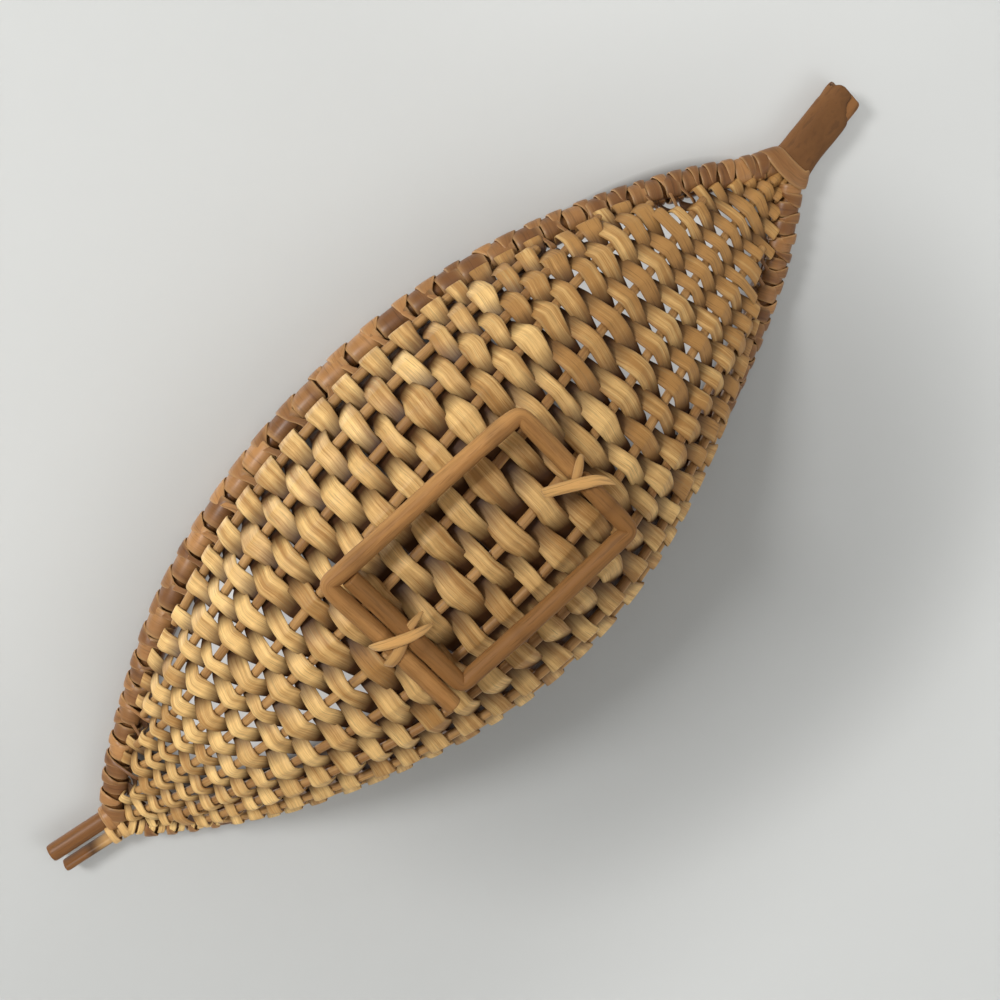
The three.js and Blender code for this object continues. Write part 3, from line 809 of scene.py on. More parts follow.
def support_at(this, distance, radius, outside, chance):
    """A weaver's place at a rib: broad and flat outside it, drawn together and aside inside it."""
    shares = shares_at(this.x)
    if outside:
        widest = min(SKEIN_WIDTH * this.weight, WIDEST_SHARE * this.pitch)
        width = widest * shares.crest * chance.uniform(*CREST_SPREAD)
        slide = chance.uniform(-CREST_WANDER, CREST_WANDER) * this.pitch
        return Support(distance, radius + OUTER_CREST, width, slide)
    width = shares.dip * this.pitch * chance.uniform(*DIP_SPREAD)
    slide = shingle_side(this.x) * shares.slide * this.pitch
    return Support(distance, -radius - INNER_CREST, width, slide)


def is_tucked(this):
    """Every other pass goes up behind the rim rods; the ones between fold over them."""
    return this.index % 2 == 0


def supports_of(this, chance):
    """The ribs under a weaver, and the places near the rims where a rib has run out."""
    radius = rib_radius(this.x)
    supports = [
        support_at(this, rib_distance(this.x, rib), radius, side_of(this.index, rib) > 0, chance)
        for rib in woven_ribs(this.x)
    ]
    tucked = is_tucked(this)
    for wall in (-1, 1):
        last = supports[0 if wall < 0 else -1]
        if (last.height > 0) != tucked:
            total = wall_total(this.x, wall)
            span = total - abs(last.distance)
            distance = wall * (total - min(MISSING_RIB_TO_RIM, span * 0.5))
            extra = support_at(this, distance, 0.6, tucked, chance)
            supports.insert(0 if wall < 0 else len(supports), extra)
    return supports


# Shares of the way from crest to dip, of the midway width, of the tilt and of the slide.
GAP_RINGS = ((0.26, 0.4, 0.6, 0.2), (0.5, 1, 1, 0.5), (0.76, 0.75, 1.15, 0.85))


def gap_rings(this, here, there, chance):
    """Rings between two neighbouring supports, worked out from the outer one to the inner one."""
    crest, dip = (here, there) if here.height > there.height else (there, here)
    shares = shares_at(this.x)
    tilt = shingle_side(this.x) * shares.tilt * chance.uniform(*TILT_SPREAD)
    midway = shares.midway * this.pitch * chance.uniform(*MIDWAY_SPREAD)
    span = dip.distance - crest.distance
    crease = math.copysign(CREASE, span)
    start, finish = crest.distance + crease, dip.distance - crease
    rings = [hull_ring(this, start, crest.height - 0.1, crest.width, shift=crest.slide)]
    for at, waist, twist, slide in GAP_RINGS:
        width = lerp(crest.width if at < 0.5 else dip.width, midway, waist)
        height = lerp(crest.height, dip.height, lerp(smoothstep(at, 0.05, 0.95), at, TENT))
        shift = lerp(crest.slide, dip.slide, slide) + chance.uniform(-GAP_WANDER, GAP_WANDER) * this.pitch
        distance, camber = crest.distance + at * span, FLAT_CAMBER + 0.08 * waist
        rings.append(hull_ring(this, distance, height, width, tilt * twist, camber, shift))
    rings.append(hull_ring(this, finish, dip.height + 0.1, dip.width, tilt * 0.7, 0.2, dip.slide))
    return rings if crest is here else rings[::-1]


def turning_place(this, wall, last):
    """How far up the wall a weaver leaves its last rib, and the room from there to the rim."""
    total = wall_total(this.x, wall)
    turn = max(abs(last.distance), total - TURN_TO_RIM)
    return turn, min(1, (total - turn) / TURN_TO_RIM), total


# Millimetres past the turning place, and shares of the last rib's height and width.
TUCK_RINGS = ((0.5, 0.9, 1), (1.2, 0.3, 0.98), (1.9, -0.7, 0.92), (4.2, -1.3, 0.8))
TUCK_TURNS = (250, 225)


def tuck_rings(this, wall, last):
    """Past the last rib and into the basket, and up behind the rim rod under the bands."""
    turn, scale, total = turning_place(this, wall, last)
    rings = []
    if turn > abs(last.distance) + 2:
        middle = wall * (turn + abs(last.distance)) / 2
        rings.append(hull_ring(this, middle, last.height * 0.9, last.width * 0.94, 0, 0.4, last.slide))
    for reach, at, wide in TUCK_RINGS:
        distance = wall * (turn + reach * scale)
        rings.append(hull_ring(this, distance, last.height * at, last.width * wide, shift=last.slide))
    x = this.x + drift_at(this.x, wall * total)
    for degrees in TUCK_TURNS:
        centre, radial = rim_point(x, wall, degrees, 0.4)
        # Painted shade where the skein goes up behind the rim rod.
        rings.append(Ring(centre, -radial, last.width * 0.7, shade=RECESS_SHADE))
    return rings


# Millimetres past the turning place, shares of the last rib's height and width, and the twist.
FOLD_RINGS = ((1.6, 0.9, 0.8, 0.2), (3.4, 0.3, 0.45, 0.5))
# Degrees round the rim rod, the share of the flap's width, and how much further it stands off.
FLAP_RINGS = (
    (-78, 0.22, -0.3), (-52, 0.45, 0.1), (-26, 0.72, 0.2), (0, 0.92, 0.35), (24, 1.0, 0.45),
    (56, 1.0, 0.2), (95, 0.95, 0), (130, 0.9, -0.3), (165, 0.8, -0.5),
)


def fold_rings(this, wall, last, chance):
    """From inside the last rib out to a point, and over the rim as a flap folded flat."""
    turn, scale, total = turning_place(this, wall, last)
    lean = chance.choice((-1, -1, -1, 1)) * this.pitch * chance.uniform(*FLAP_LEAN)
    top = clamp(FLAP_PITCHES * this.pitch, *FLAP_WIDTHS) * chance.uniform(*FLAP_SPREAD)
    rings = []
    for reach, at, wide, twist in FOLD_RINGS:
        distance, slide = wall * (turn + reach * scale), last.slide * (1 - at)
        rings.append(hull_ring(this, distance, last.height * at, last.width * wide, twist, 0.2, slide))
    x = this.x + drift_at(this.x, wall * total)
    for degrees, wide, rise in FLAP_RINGS:
        share = smoothstep(degrees, -80, 10)
        centre, radial = rim_point(x, wall, degrees, FOLD_REACH + rise)
        shift = -wall * (1 - wide) * top * FLAP_SLANT * math.copysign(1, lean) + lean * share
        rings.append(Ring(centre, radial, top * wide, FLAP_TWIST * (1 - share), FLAT_CAMBER, shift))
    return rings


def band_rings(x, wall, width, chance, slant=0.0):
    """A full turn of a skein round a rim rod, bark side out, sagging a little towards the wall."""
    slope = (slant + chance.uniform(*BAND_SLANTS)) * width
    swell = chance.uniform(*BAND_SWELL)
    sag = BAND_SAG * min(1, width / FULL_SAG_WIDTH) * chance.uniform(*SAG_SPREAD)
    rings = []
    for step in range(BAND_STEPS + 1):
        degrees = BAND_START - step * 360 / BAND_STEPS
        share = step / BAND_STEPS - 0.5
        reach = BAND_REACH + 0.3 * share + sag * max(0, -math.sin(math.radians(degrees + 15)))
        centre, radial = rim_point(x + slope * share, wall, degrees, reach)
        # Painted shade on the band's underside, where it turns under the rod towards the wall.
        shade = BAND_SHADE * smoothstep(degrees, -60, -140)
        rings.append(Ring(centre, radial, width * swell, 0, BAND_CAMBER * width, shade=shade))
    return rings


def weave_pass(mesh, this, chance):
    """One pass from rim to rim, with its flaps where it folds over the rim rods."""
    supports = supports_of(this, chance)
    tucked = is_tucked(this)
    start = chance.uniform(0, SKEIN_LENGTH)
    ends = []
    for wall, last in ((-1, supports[0]), (1, supports[-1])):
        ends.append(tuck_rings(this, wall, last) if tucked else fold_rings(this, wall, last, chance))
    body = []
    for here, there in zip(supports, [*supports[1:], None]):
        body.append(hull_ring(this, here.distance, here.height, here.width, shift=here.slide))
        body += gap_rings(this, here, there, chance) if there else []
    if tucked:
        mesh.strip(ends[0][::-1] + body + ends[1], this.tone, 0, start)
        return
    mesh.strip([ends[0][0], *body, ends[1][0]], this.tone, 0, start)
    for end in ends:
        mesh.strip(end, chance.uniform(0.1, 0.8) + BARK_BROWNER * browner_at(this.x), 1, start)


def rim_bands(mesh, this, chance):
    """The turns that a pass makes round both rim rods, bark side out."""
    for wall in (-1, 1):
        x = this.x + drift_at(this.x, wall * wall_total(this.x, wall))
        if wall > 0 and x < PALE_TURNS[1]:
            continue
        tone = chance.uniform(0, 1) + BARK_BROWNER * browner_at(x)
        rings = band_rings(x, wall, BAND_PITCHES * this.pitch, chance)
        mesh.strip(rings, tone, 1, chance.uniform(0, SKEIN_LENGTH))


def end_bands(mesh, last, end, walls, chance):
    """Turns round the rim rods past the last pass, where there is no room for a wall."""
    x = last.x + end * 2 * last.pitch
    while abs(x) < HALF_LENGTH - 1:
        for wall in walls:
            rings = band_rings(x, wall, BAND_PITCHES * last.pitch, chance)
            mesh.strip(rings, chance.uniform(0, 1), 1, chance.uniform(0, SKEIN_LENGTH))
        x += end * 2 * last.pitch


def pale_turns(mesh, chance):
    """Narrow slanted turns, pith side out, round the back rim rod at its left end."""
    x = PALE_TURNS[0]
    while x < PALE_TURNS[1]:
        width = PALE_TURN_WIDTH * chance.uniform(*PALE_TURN_SPREAD)
        rings = band_rings(x, 1, width, chance, PALE_TURN_SLANT)
        mesh.strip(rings, chance.uniform(-0.1, 0.4), 0, chance.uniform(0, SKEIN_LENGTH))
        x += PALE_TURN_WIDTH * chance.uniform(*PALE_TURN_STEPS)


def weave_pieces():
    names = sorted(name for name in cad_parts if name.startswith("skein_"))
    boxes = [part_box(name) for name in names]
    borders = [(a[1].x + b[0].x) / 2 / MM - ORIGIN_X for a, b in zip(boxes, boxes[1:])]
    chance = random.Random(5)
    meshes = [Mesh() for _ in names]
    for this in PASSES:
        mesh = meshes[bisect(borders, this.x)]
        weave_pass(mesh, this, chance)
        if is_tucked(this):
            rim_bands(mesh, this, chance)
    end_bands(meshes[0], PASSES[0], -1, (-1,), chance)
    end_bands(meshes[-1], PASSES[-1], 1, (-1, 1), chance)
    pale_turns(meshes[0], chance)
    for name, mesh in zip(names, meshes):
        piece = mesh.finish(name.replace("skein", "weave"), (STRAW, BARK), SKEIN_THICKNESS)
        dress(piece, "split_willow", name)


# Rods


def knots(length, spacing, chance):
    """Places of the knots along a rod."""
    places = []
    x = chance.uniform(*FIRST_KNOT) * spacing
    while x < length:
        places.append((x, chance.uniform(*KNOT_RISE), chance.uniform(*KNOT_SHADE)))
        x += spacing * chance.uniform(*KNOT_SPACING)
    return places


def dressed_rod(
    name, centres, radii, material, slot, seed, spacing, sides=12, flats=None, worn=(), tone=0.5
):
    """A willow rod with its knots; flats split it, and worn places are dark."""
    chance = random.Random(seed)
    lengths = list(accumulate(((b - a).length for a, b in zip(centres, centres[1:])), initial=0.0))
    bumps = knots(lengths[-1], spacing, chance)
    swollen, marks_and_shade = [], []
    for length, radius in zip(lengths, radii):
        near = [(bell(length, at, KNOT_REACH), rise, dark) for at, rise, dark in bumps]
        wobble = 1 + ROD_WOBBLE * noise.noise(Vector((length / WOBBLE_LENGTH, seed, 0)))
        swollen.append(radius * wobble * (1 + sum(share * rise for share, rise, _ in near)))
        marks_and_shade.append(min(DARKEST_KNOT, sum(share * dark for share, _, dark in near)))
    for i, mark_and_shade in worn:
        marks_and_shade[i] = mark_and_shade
    mesh = Mesh()
    mesh.rod(centres, swollen, sides, tone, marks_and_shade, chance.uniform(0, 500), flats)
    dress(mesh.finish(name, (material,)), slot, name.replace("dressed_", ""))


def even_stations(start, finish, step):
    """Even places along a rod, and one close to each end that keeps the end sharp."""
    count = max(2, math.ceil(abs(finish - start) / step))
    inner = [lerp(start, finish, i / count) for i in range(1, count)]
    return [start, start + END_MARGIN, *inner, finish - END_MARGIN, finish]


def rib_pieces():
    for i, rib in enumerate(RIBS):
        node = f"rib_{i + 1:02d}"
        start, finish = node_span(node)
        if rib == 0:
            start, finish = max(start - 12, -TIP), min(finish + 12, TIP)
        stations = even_stations(start, finish, 4)
        centres = [surface_point(x, rib_distance(x, rib)) for x in stations]
        radii = [rib_radius(x) for x in stations]
        dressed_rod(f"dressed_{node}", centres, radii, RIB_WOOD, "rib_willow", i, 60)


def rim_pieces():
    for wall, side in ((-1, "front"), (1, "back")):
        start = -HALF_LENGTH - LEFT_STUB["length"]
        finish = HALF_LENGTH + RIGHT_STUB["length"] - 2
        stations = even_stations(start, finish, 3)
        centres = [rim_centre(x, wall) for x in stations]
        radii = [rim_radius(x, wall) for x in stations]
        radii[0], radii[-1] = radii[0] * TIP_ROUNDING, radii[-1] * TIP_ROUNDING
        flats, worn = None, ()
        if wall > 0:
            whole = [smoothstep(x, -SPLIT_START - 3, -SPLIT_START + 3) for x in stations]
            flats = [lerp(SPLIT_LEFT, 1, share) for share in whole]
            knot = min(range(len(stations)), key=lambda i: abs(stations[i] + KNOT_AT))
            worn = ((knot, 0.9), (knot + 1, 0.5))
        name = f"dressed_rim_rod_{side}"
        dressed_rod(name, centres, radii, RIM_WOOD, "rim_willow", 30 + wall, 90, 16, flats, worn)


def leg_seat(x):
    """The height of a leg where it lies under the keel rib and the weave."""
    nearer = x - math.copysign(FOOT_RADIUS, x)
    depth = 2 * (rib_radius(x) + 0.8)
    return hull_point(nearer, 0).z - depth - 0.5 - FOOT_RADIUS


def leg_height(x, y):
    keel = hull_point(x, 0).y
    reach = keel - FOOT_FRONT if y < keel else FOOT_BACK - keel
    share = clamp(abs(y - keel) / reach, 0, 1)
    return lerp(leg_seat(x), RAIL_HEIGHT, smoothstep(share, *LEG_RISE))


def leg_points(x, start, finish):
    count = max(3, round(abs(finish - start) / 3))
    ys = [lerp(start, finish, i / count) for i in range(count + 1)]
    return [Vector((x, y, leg_height(x, y))) for y in ys]


Corner = namedtuple("Corner", "x y")


def corner_points(corner, in_x, in_y):
    """A rod's bend at a corner of the foot, from the rail to the leg."""
    points = []
    for turn in (i * QUARTER / 3 for i in range(4)):
        x = corner.x + in_x * FOOT_CORNER * (1 - math.sin(turn))
        y = corner.y + in_y * FOOT_CORNER * (1 - math.cos(turn))
        points.append(Vector((x, y, RAIL_HEIGHT)))
    return points


def rail_points(left, right, in_y):
    """A rail between the two corners of the foot, bowed a little."""
    points = []
    for share in (i / RAIL_STEPS for i in range(1, RAIL_STEPS)):
        x = lerp(left.x + FOOT_CORNER, right.x - FOOT_CORNER, share)
        y = lerp(left.y, right.y, share) + RAIL_BOW * math.sin(5 * share + in_y)
        points.append(Vector((x, y, RAIL_HEIGHT)))
    return points


def foot_rod_points(left, right, in_y, left_end, right_end):
    """A foot rod's way: its left leg, a corner, the rail, a corner and its half of the right leg."""
    points = [
        *leg_points(left.x, left_end, left.y + in_y * FOOT_CORNER)[:-1],
        *corner_points(left, 1, in_y)[::-1],
        *rail_points(left, right, in_y),
        *corner_points(right, -1, in_y),
        *leg_points(right.x, right.y + in_y * FOOT_CORNER, right_end)[1:],
    ]
    ahead = (points[1] - points[0]).normalized()
    points.insert(1, points[0] + ahead * END_MARGIN)
    return points


def foot_radii(points, corners):
    """The rod's radius along it, pinched where it is bent sharply."""
    nearest = [min((point.xy - Vector(corner)).length for corner in corners) for point in points]
    return [FOOT_RADIUS * (1 - CORNER_PINCH * bell(near, 0, PINCH_REACH)) for near in nearest]


def foot_pieces():
    joint = hull_point(FOOT_RIGHT, 0).y
    inner_end = FOOT_FRONT + FRONT_SKEW[0] + FOOT_RADIUS + 0.5
    rods = (
        ("front", FOOT_FRONT, FRONT_SKEW, FOOT_LEFT, 1, FOOT_BACK + LEG_OVERRUN, joint - 0.4, 51, 0.6),
        ("back", FOOT_BACK, BACK_SKEW, INNER_LEG, -1, inner_end, joint + 0.4, 52, 1.15),
    )
    for side, rail_y, skew, left_x, in_y, left_end, right_end, seed, tone in rods:
        corners = [Corner(x, rail_y + wry) for x, wry in zip((left_x, FOOT_RIGHT), skew)]
        points = foot_rod_points(*corners, in_y, left_end, right_end)
        radii = foot_radii(points, corners)
        name = f"dressed_foot_rod_{side}"
        dressed_rod(name, points, radii, FOOT_WOOD, "foot_willow", seed, 45, 16, tone=tone)


# Ties, lashings and the sheath


def pair_point(x, degrees, distance):
    """A point on the oval round both rim rods, and its direction."""
    turn = math.radians(degrees)
    share = clamp(0.5 + PAIR_BLEND * math.cos(turn), 0, 1)
    centre = lerp(rim_centre(x, -1), rim_centre(x, 1), share)
    radius = lerp(rim_radius(x, -1), rim_radius(x, 1), share)
    along = lerp(rim_centre(x + 0.5, -1), rim_centre(x + 0.5, 1), share) - centre
    outward = Vector((0, math.cos(turn), math.sin(turn)))
    outward = (outward - along * outward.dot(along) / along.length_squared).normalized()
    return centre + outward * (radius + distance), outward


def oval_strip(mesh, start, finish, first_x, last_x, width, distances, tone, slot):
    """A skein round both rim rods, from one angle and station to another."""
    rings = []
    count = round(abs(finish - start) / 20)
    for share in (i / count for i in range(count + 1)):
        x, degrees = lerp(first_x, last_x, share), lerp(start, finish, share)
        rings.append(Ring(*pair_point(x, degrees, lerp(*distances, share)), width))
    mesh.strip(rings, tone, slot, 40 * tone)


def left_lashing():
    """Slanted turns of skein round each rim rod by itself at the root of the handle."""
    low, high = node_span("left_lashing")
    chance = random.Random(8)
    mesh = Mesh()
    turns = ((-1, high - 1.6, 4.4, 1), (1, low + 1.8, 3.0, 0), (1, high - 1.2, 3.2, 0))
    for wall, x, width, slot in turns:
        mesh.strip(band_rings(x, wall, width, chance), chance.uniform(0.2, 0.6), slot, 60)
    piece = mesh.finish("dressed_left_lashing", (TIE_STRAW, BARK), LASHING_THICKNESS)
    dress(piece, "tie_willow", "left_lashing")


def right_lashing():
    """A broad turn over the front rod, and one round the back rod that comes up under it."""
    low, high = node_span("right_lashing")
    middle = (low + high) / 2
    mesh = Mesh()
    oval_strip(mesh, 320, 440, middle - 2.4, middle - 6, 5.4, (0.5, 0.9), 1.2, 1)
    oval_strip(mesh, 100, 325, middle - 6, middle - 0.8, 7.4, (1.2, 3.0), 0.95, 1)
    piece = mesh.finish("dressed_right_lashing", (TIE_STRAW, BARK), LASHING_THICKNESS)
    dress(piece, "tie_willow", "right_lashing")


def sheath_reach(x, degrees, low):
    """How far the bark stands off the rods: loose all round, and more at its root."""
    bulge = SHEATH_BULGE * bell(x, low, 6) * bell(degrees, 335, 40)
    ripple = SHEATH_RIPPLE * noise.noise(Vector((x / 9, degrees / 50, 2.2)))
    return SHEATH_STANDOFF + bulge + ripple


def sheath_sheet(mesh, first, last_at, low, high_at, lift, tone):
    """A sheet of bark bent round the rods, from an angle to one that changes along it."""
    rows, columns = SHEATH_GRID
    grid = mesh.sheet(rows, columns)
    points, maps = [], []
    for i in range(rows):
        row, map_row = [], []
        for j in range(columns):
            across = j / (columns - 1)
            nominal = lerp(low, high_at(first + across * (last_at(low) - first)), i / (rows - 1))
            degrees = lerp(first, last_at(nominal), across)
            x = lerp(low, high_at(degrees), i / (rows - 1))
            row.append(pair_point(x, degrees, sheath_reach(x, degrees, low) + lift)[0])
            map_row.append((x, degrees * 0.12))
        points.append(row)
        maps.append(map_row)
    edges = [abs(2 * j / (columns - 1) - 1) ** 3 for j in range(columns)]
    mesh.lay(grid, points, maps, tone, edges, [0] * rows, 0)


def outward_of(face):
    """The direction from the middle of the handle to a face."""
    centre = face.calc_center_median()
    x = centre.x / MM - ORIGIN_X
    return centre - place((rim_centre(x, -1) + rim_centre(x, 1)) / 2)


def sheath_piece():
    """Bark wrapped lengthwise: its free edge draws back near the end and bares a paler flap."""
    low, high = (end + more for end, more in zip(node_span("handle_sheath"), SHEATH_ENDS))
    mesh = Mesh()

    def free_edge(x):
        return lerp(352, 273, smoothstep(x, high - 7.8, high - 6))

    def rounded_end(degrees):
        return high - 2.6 * bell(degrees, 190, 32)

    def flap_edge(x):
        return SHEATH_FLAP_EDGE

    def blunt_end(degrees):
        return high + 0.1 - 1.6 * smoothstep(degrees, 300, 350)

    sheath_sheet(mesh, 20, free_edge, low, rounded_end, 0, 0.5)
    sheath_sheet(mesh, 250, flap_edge, lerp(low, high, 0.35), blunt_end, -0.9, -0.35)
    mesh.bm.normal_update()
    inward = [face for face in mesh.bm.faces if face.normal.dot(outward_of(face)) < 0]
    bmesh.ops.reverse_faces(mesh.bm, faces=inward)
    piece = mesh.finish("bark_sheath", (SHEATH_BARK, BARK), SHEATH_THICKNESS)
    dress(piece, "bark", "handle_sheath")


# Straps as stops: along and across from the leg over the keel, up from under it, and the width.
UPPER_LEFT_STRAP = (
    (-5.4, -10.4, 5.0, 2.2), (-4.4, -10.6, 2.6, 3.2), (-2.8, -10.3, 0.8, 3.8), (0, -9.0, -0.1, 4.2),
    (3.5, -7.0, -0.1, 4.3), (7.2, -5.2, 0, 4.2), (10.4, -4.0, 0.3, 3.8), (13, -3.0, 1.2, 2.8),
    (15.4, -2.0, 2.4, 0.8),
)
LOWER_LEFT_STRAP = (
    (-5.7, -1.6, 3.0, 3.6), (-4.3, -2.5, 1.2, 4.2), (-1.5, -3.1, 0.1, 4.4), (1.5, -4.1, 0, 4.2),
    (4.5, -5.6, 0, 3.9), (7.2, -6.9, 0, 3.6), (10.5, -7.8, 0.2, 3.3), (13.5, -7.8, 1.1, 2.4),
    (16, -7.5, 2.2, 0.8),
)
LONG_RIGHT_STRAP = (
    (-12.8, -4.6, 3.2, 3.8), (-10.6, -4.0, 1.6, 4.2), (-7.5, -2.6, 0.5, 4.4), (-4.2, -0.8, 0, 4.5),
    (0, 1.9, -0.2, 4.6), (3, 3.9, 0, 4.4), (4.9, 6.0, 0.4, 3.4), (6.1, 8.2, 0.8, 2.0),
    (6.9, 10.4, 1.0, 0.4),
)
SHORT_RIGHT_STRAP = (
    (-3.5, 0.6, 0, 3.0), (-1, -1.2, 0, 3.5), (1.6, -3.0, 0.2, 3.6), (3.8, -4.3, 1.1, 3.2),
    (5.6, -4.8, 3.0, 1.6),
)


def strap(mesh, leg, stops, layer, tone):
    """A flat strap of skein that lies against the legs."""
    keel = hull_point(leg, 0).y
    base = Vector((leg, keel, leg_height(leg, keel) - FOOT_RADIUS - 0.3 - 0.75 * layer))
    points = [base + Vector(stop[:3]) for stop in stops]
    rings = []
    for i, (point, stop) in enumerate(zip(points, stops)):
        before, after = neighbours(points, i)
        side = (after - before).cross(Vector((0, 0, -1)))
        rings.append(Ring(point, side.cross(after - before).normalized(), stop[3], 0, 0.1))
    mesh.strip(rings, tone, 0, 25 * layer)


def tie_pieces():
    ties = (
        ("left", FOOT_LEFT, LOWER_LEFT_STRAP, UPPER_LEFT_STRAP),
        ("right", FOOT_RIGHT, SHORT_RIGHT_STRAP, LONG_RIGHT_STRAP),
    )
    for side, leg, under, over in ties:
        mesh = Mesh()
        strap(mesh, leg, under, 0, 0.45)
        strap(mesh, leg, over, 1, 0.1)
        piece = mesh.finish(f"tie_{side}", (TIE_STRAW, BARK), TIE_THICKNESS)
        dress(piece, "tie_willow", f"foot_tie_{side}")


# Stage, lamps and camera


def oval_square(tree, centre, reach):
    """The squared distance from a centre in half-widths of an oval round it."""
    squares = []
    for axis, middle, half in zip(object_axes(tree), centre, reach):
        away = math_node(tree, "SUBTRACT", axis, middle * MM)
        away = math_node(tree, "DIVIDE", away, half * MM)
        squares.append(math_node(tree, "MULTIPLY", away, away))
    return math_node(tree, "ADD", *squares)


def under_hull(tree):
    """Masks of painted light and shade on the stage under the hull: a painted glow at its two ends, in
    place of light through the weave, and painted shade under its middle.
    """
    square = oval_square(tree, (0, 0), HULL_SHADOW)
    inside = ramp(tree, square, ((0.65, WHITE), (0.86, BLACK)))
    roofed = ramp(tree, square, ((0.88, WHITE), (1.0, BLACK)))
    along = math_node(tree, "DIVIDE", object_axes(tree)["X"], HULL_SHADOW[0] * MM)
    ends = ramp(tree, math_node(tree, "ABSOLUTE", along), ((0.25, BLACK), (0.5, WHITE)))
    lit = math_node(tree, "MULTIPLY", inside, ends)
    return lit, math_node(tree, "SUBTRACT", roofed, lit, clamped=True)


def window_light(tree):
    """Painted light: the stage's glow brightens away from the basket, behind it and at its sides."""
    shares = []
    for axis, stops in zip(object_axes(tree), (ACROSS_LIGHT, ALONG_LIGHT)):
        share = math_node(tree, "DIVIDE", axis, LIGHT_SPAN * MM)
        share = math_node(tree, "ADD", share, 0.5)
        stops = [(0.5 + at / LIGHT_SPAN, (value,) * 3) for at, value in stops]
        shares.append(ramp(tree, share, stops, "EASE"))
    return math_node(tree, "ADD", *shares)


def half_shadow(tree):
    """A mask of the broad half-shadow on the side of the basket away from the light."""
    square = oval_square(tree, HALF_SHADOW["centre"], HALF_SHADOW["reach"])
    return ramp(tree, square, ((0.15, WHITE), (1.0, BLACK)), "EASE")


def mix_shader(tree, factor, first, second, sink):
    """Two shaders mixed by a factor, and sent to an output node."""
    mixed = add_node(tree, "ShaderNodeMixShader")
    for socket, source in zip(mixed.inputs, (factor, first, second)):
        link(tree, source, socket)
    link(tree, mixed.outputs[0], sink.inputs["Surface"])


def one_sided(name, colour, glow, hull_glow):
    """A matt surface that shows only from its front, with a little light of its own; the table also has a
    painted glow and painted shade under the hull, a painted half-shadow and painted light away from the
    basket.
    """
    material = bpy.data.materials.new(name)
    material.use_nodes = True
    tree = material.node_tree
    tree.nodes.clear()
    matt = add_node(tree, "ShaderNodeBsdfDiffuse")
    shine = add_node(tree, "ShaderNodeEmission")
    for shader in (matt, shine):
        shader.inputs["Color"].default_value = (*colour, 1)
    # Painted glow at the ends of the hull and painted shade under its middle.
    lit, dark = under_hull(tree)
    strength = math_node(tree, "ADD", glow, math_node(tree, "MULTIPLY", lit, hull_glow))
    strength = math_node(tree, "SUBTRACT", strength, math_node(tree, "MULTIPLY", dark, glow))
    if hull_glow:
        # Painted half-shadow beside the basket, and the painted shade colour under the hull's middle.
        deep = tuple(value * (1 - HALF_SHADOW["depth"]) for value in colour)
        shadowed = mix_colour(tree, half_shadow(tree), colour, deep)
        link(tree, shadowed, shine.inputs["Color"])
        link(tree, mix_colour(tree, dark, shadowed, HULL_SHADE_COLOUR), matt.inputs["Color"])
        strength = math_node(tree, "ADD", strength, window_light(tree))
    link(tree, strength, shine.inputs["Strength"])
    both = add_node(tree, "ShaderNodeAddShader")
    link(tree, matt.outputs[0], both.inputs[0])
    link(tree, shine.outputs[0], both.inputs[1])
    clear = add_node(tree, "ShaderNodeBsdfTransparent")
    back = add_node(tree, "ShaderNodeNewGeometry").outputs["Backfacing"]
    output = add_node(tree, "ShaderNodeOutputMaterial")
    mix_shader(tree, back, both.outputs[0], clear.outputs[0], output)
    return material


def stage_plane(name, height, faces_up, colour, glow, hull_glow=0.0):
    """A level surface over or under the basket that lets the lamps' light through."""
    bm = bmesh.new()
    bmesh.ops.create_grid(bm, x_segments=1, y_segments=1, size=STAGE_SIZE * MM / 2)
    for vert in bm.verts:
        vert.co.z = height * MM
    if not faces_up:
        bmesh.ops.reverse_faces(bm, faces=bm.faces)
    mesh = bpy.data.meshes.new(name)
    bm.to_mesh(mesh)
    bm.free()
    mesh.materials.append(one_sided(name, colour, glow, hull_glow))
    plane = add_object(name, mesh)
    plane.visible_shadow = False


def area_lamp(name, position, target, size, power):
    data = bpy.data.lights.new(name, "AREA")
    data.shape = "DISK"
    data.size = size
    data.energy = power
    lamp = add_object(name, data)
    lamp.location = position
    lamp.rotation_euler = (target - position).to_track_quat("-Z", "Y").to_euler()


def camera_axes():
    """The level picture's right, its down, and the way the camera looks."""
    tilt, yaw, roll = CAMERA_TURNS
    turn = Matrix.Rotation(roll, 3, "Z") @ Matrix.Rotation(yaw, 3, "Y") @ Matrix.Rotation(tilt, 3, "X")
    return turn.row


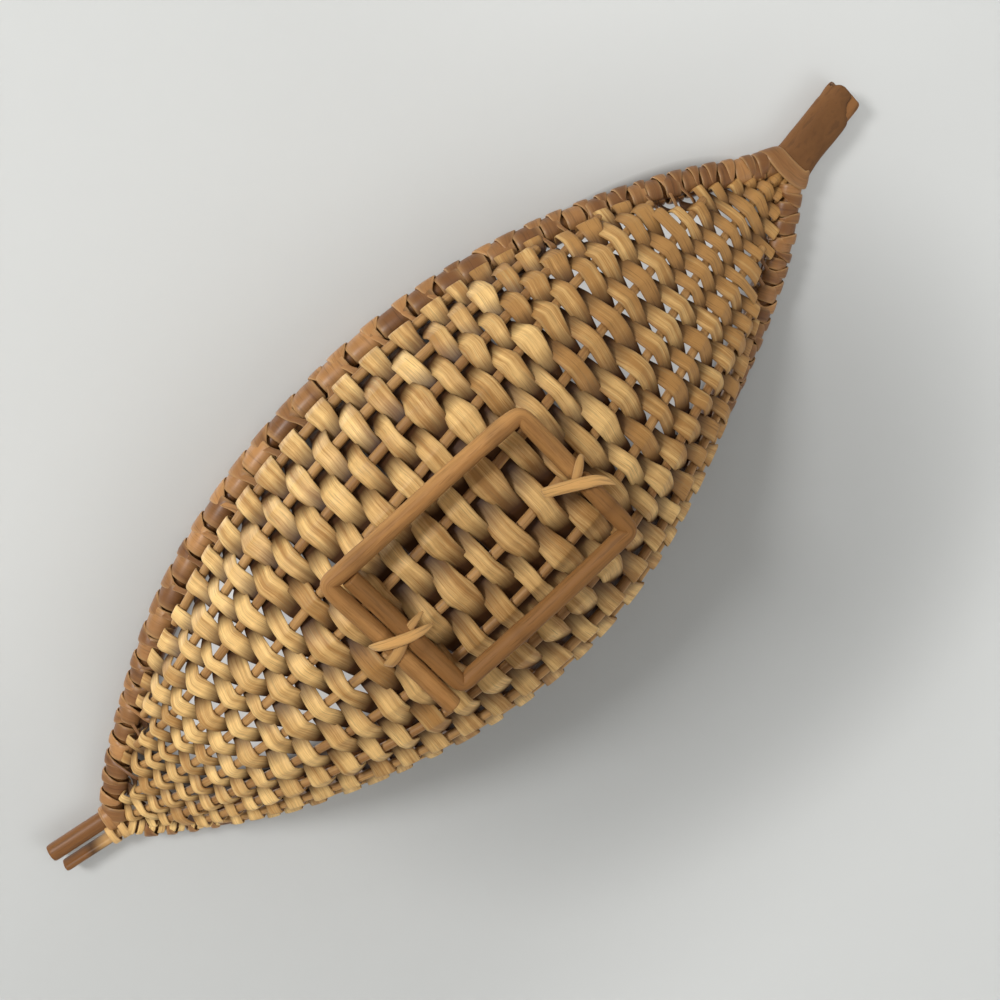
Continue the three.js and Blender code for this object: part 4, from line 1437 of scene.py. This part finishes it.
def set_camera():
    """The photographer's place, under the basket, with the level picture turned as in the photograph."""
    right, down, forward = camera_axes()
    photo_right = right * LEVEL_RIGHT.x + down * LEVEL_RIGHT.y
    photo_down = down * LEVEL_RIGHT.x - right * LEVEL_RIGHT.y
    data = bpy.data.cameras.new("camera")
    data.sensor_width = SENSOR
    data.lens = SENSOR * FOCAL_PIXELS / PICTURE
    data.shift_x = 0.5 - LENS_AXIS[0] / PICTURE
    data.shift_y = LENS_AXIS[1] / PICTURE - 0.5
    camera = add_object("camera", data)
    turn = Matrix((photo_right, -photo_down, -forward)).transposed().to_4x4()
    centre = place(Vector((0, 0, RIM_HEIGHT)))
    camera.matrix_world = Matrix.Translation(centre - forward * CAMERA_DISTANCE * MM) @ turn
    bpy.context.scene.camera = camera


# Metres from the target along the picture's right, down and forward, the size, and the power.
LAMPS = (
    ("key", (-0.66, -1.012, -1.87), 0.55, 34),
    ("fill", (0.27, 1.53, -0.99), 1.2, 10),
    ("front", (0, -0.2, -2), 1.6, 14),
)
# The sky lamp's place over the open basket, in metres.
SKY_LAMP = (-0.35, -0.45, 1.2)
AMBIENT_COLOUR = (0.93, 0.96, 1, 1)
AMBIENT_STRENGTH = 0.14
BACKDROP = (0.62, 0.62, 0.6, 1)


def set_light():
    target = Vector((0, 0, LAMP_TARGET * MM))
    for name, way, size, power in LAMPS:
        parts = (axis * share for axis, share in zip(camera_axes(), way))
        area_lamp(name, sum(parts, target), target, size, power)
    area_lamp("sky", Vector(SKY_LAMP), target, 0.9, 9)
    world = bpy.data.worlds.new("world")
    world.use_nodes = True
    tree = world.node_tree
    background = tree.nodes["Background"]
    background.inputs["Color"].default_value = AMBIENT_COLOUR
    background.inputs["Strength"].default_value = AMBIENT_STRENGTH
    pale = add_node(tree, "ShaderNodeBackground")
    pale.inputs["Color"].default_value = BACKDROP
    rays = add_node(tree, "ShaderNodeLightPath").outputs
    seen = math_node(tree, "MAXIMUM", rays["Is Camera Ray"], rays["Is Glossy Ray"])
    seen = math_node(tree, "MAXIMUM", seen, rays["Is Transmission Ray"])
    mix_shader(tree, seen, background.outputs[0], pale.outputs[0], tree.nodes["World Output"])
    bpy.context.scene.world = world


bpy.context.scene.view_settings.view_transform = "Standard"
set_camera()
set_light()
stage_plane("table", TABLE_HEIGHT, False, (0.447, 0.45, 0.442), 0.112, 1.0)
stage_plane("floor", FLOOR_HEIGHT, True, (0.5, 0.505, 0.5), 0.14)
weave_pieces()
rib_pieces()
rim_pieces()
foot_pieces()
left_lashing()
right_lashing()
sheath_piece()
tie_pieces()
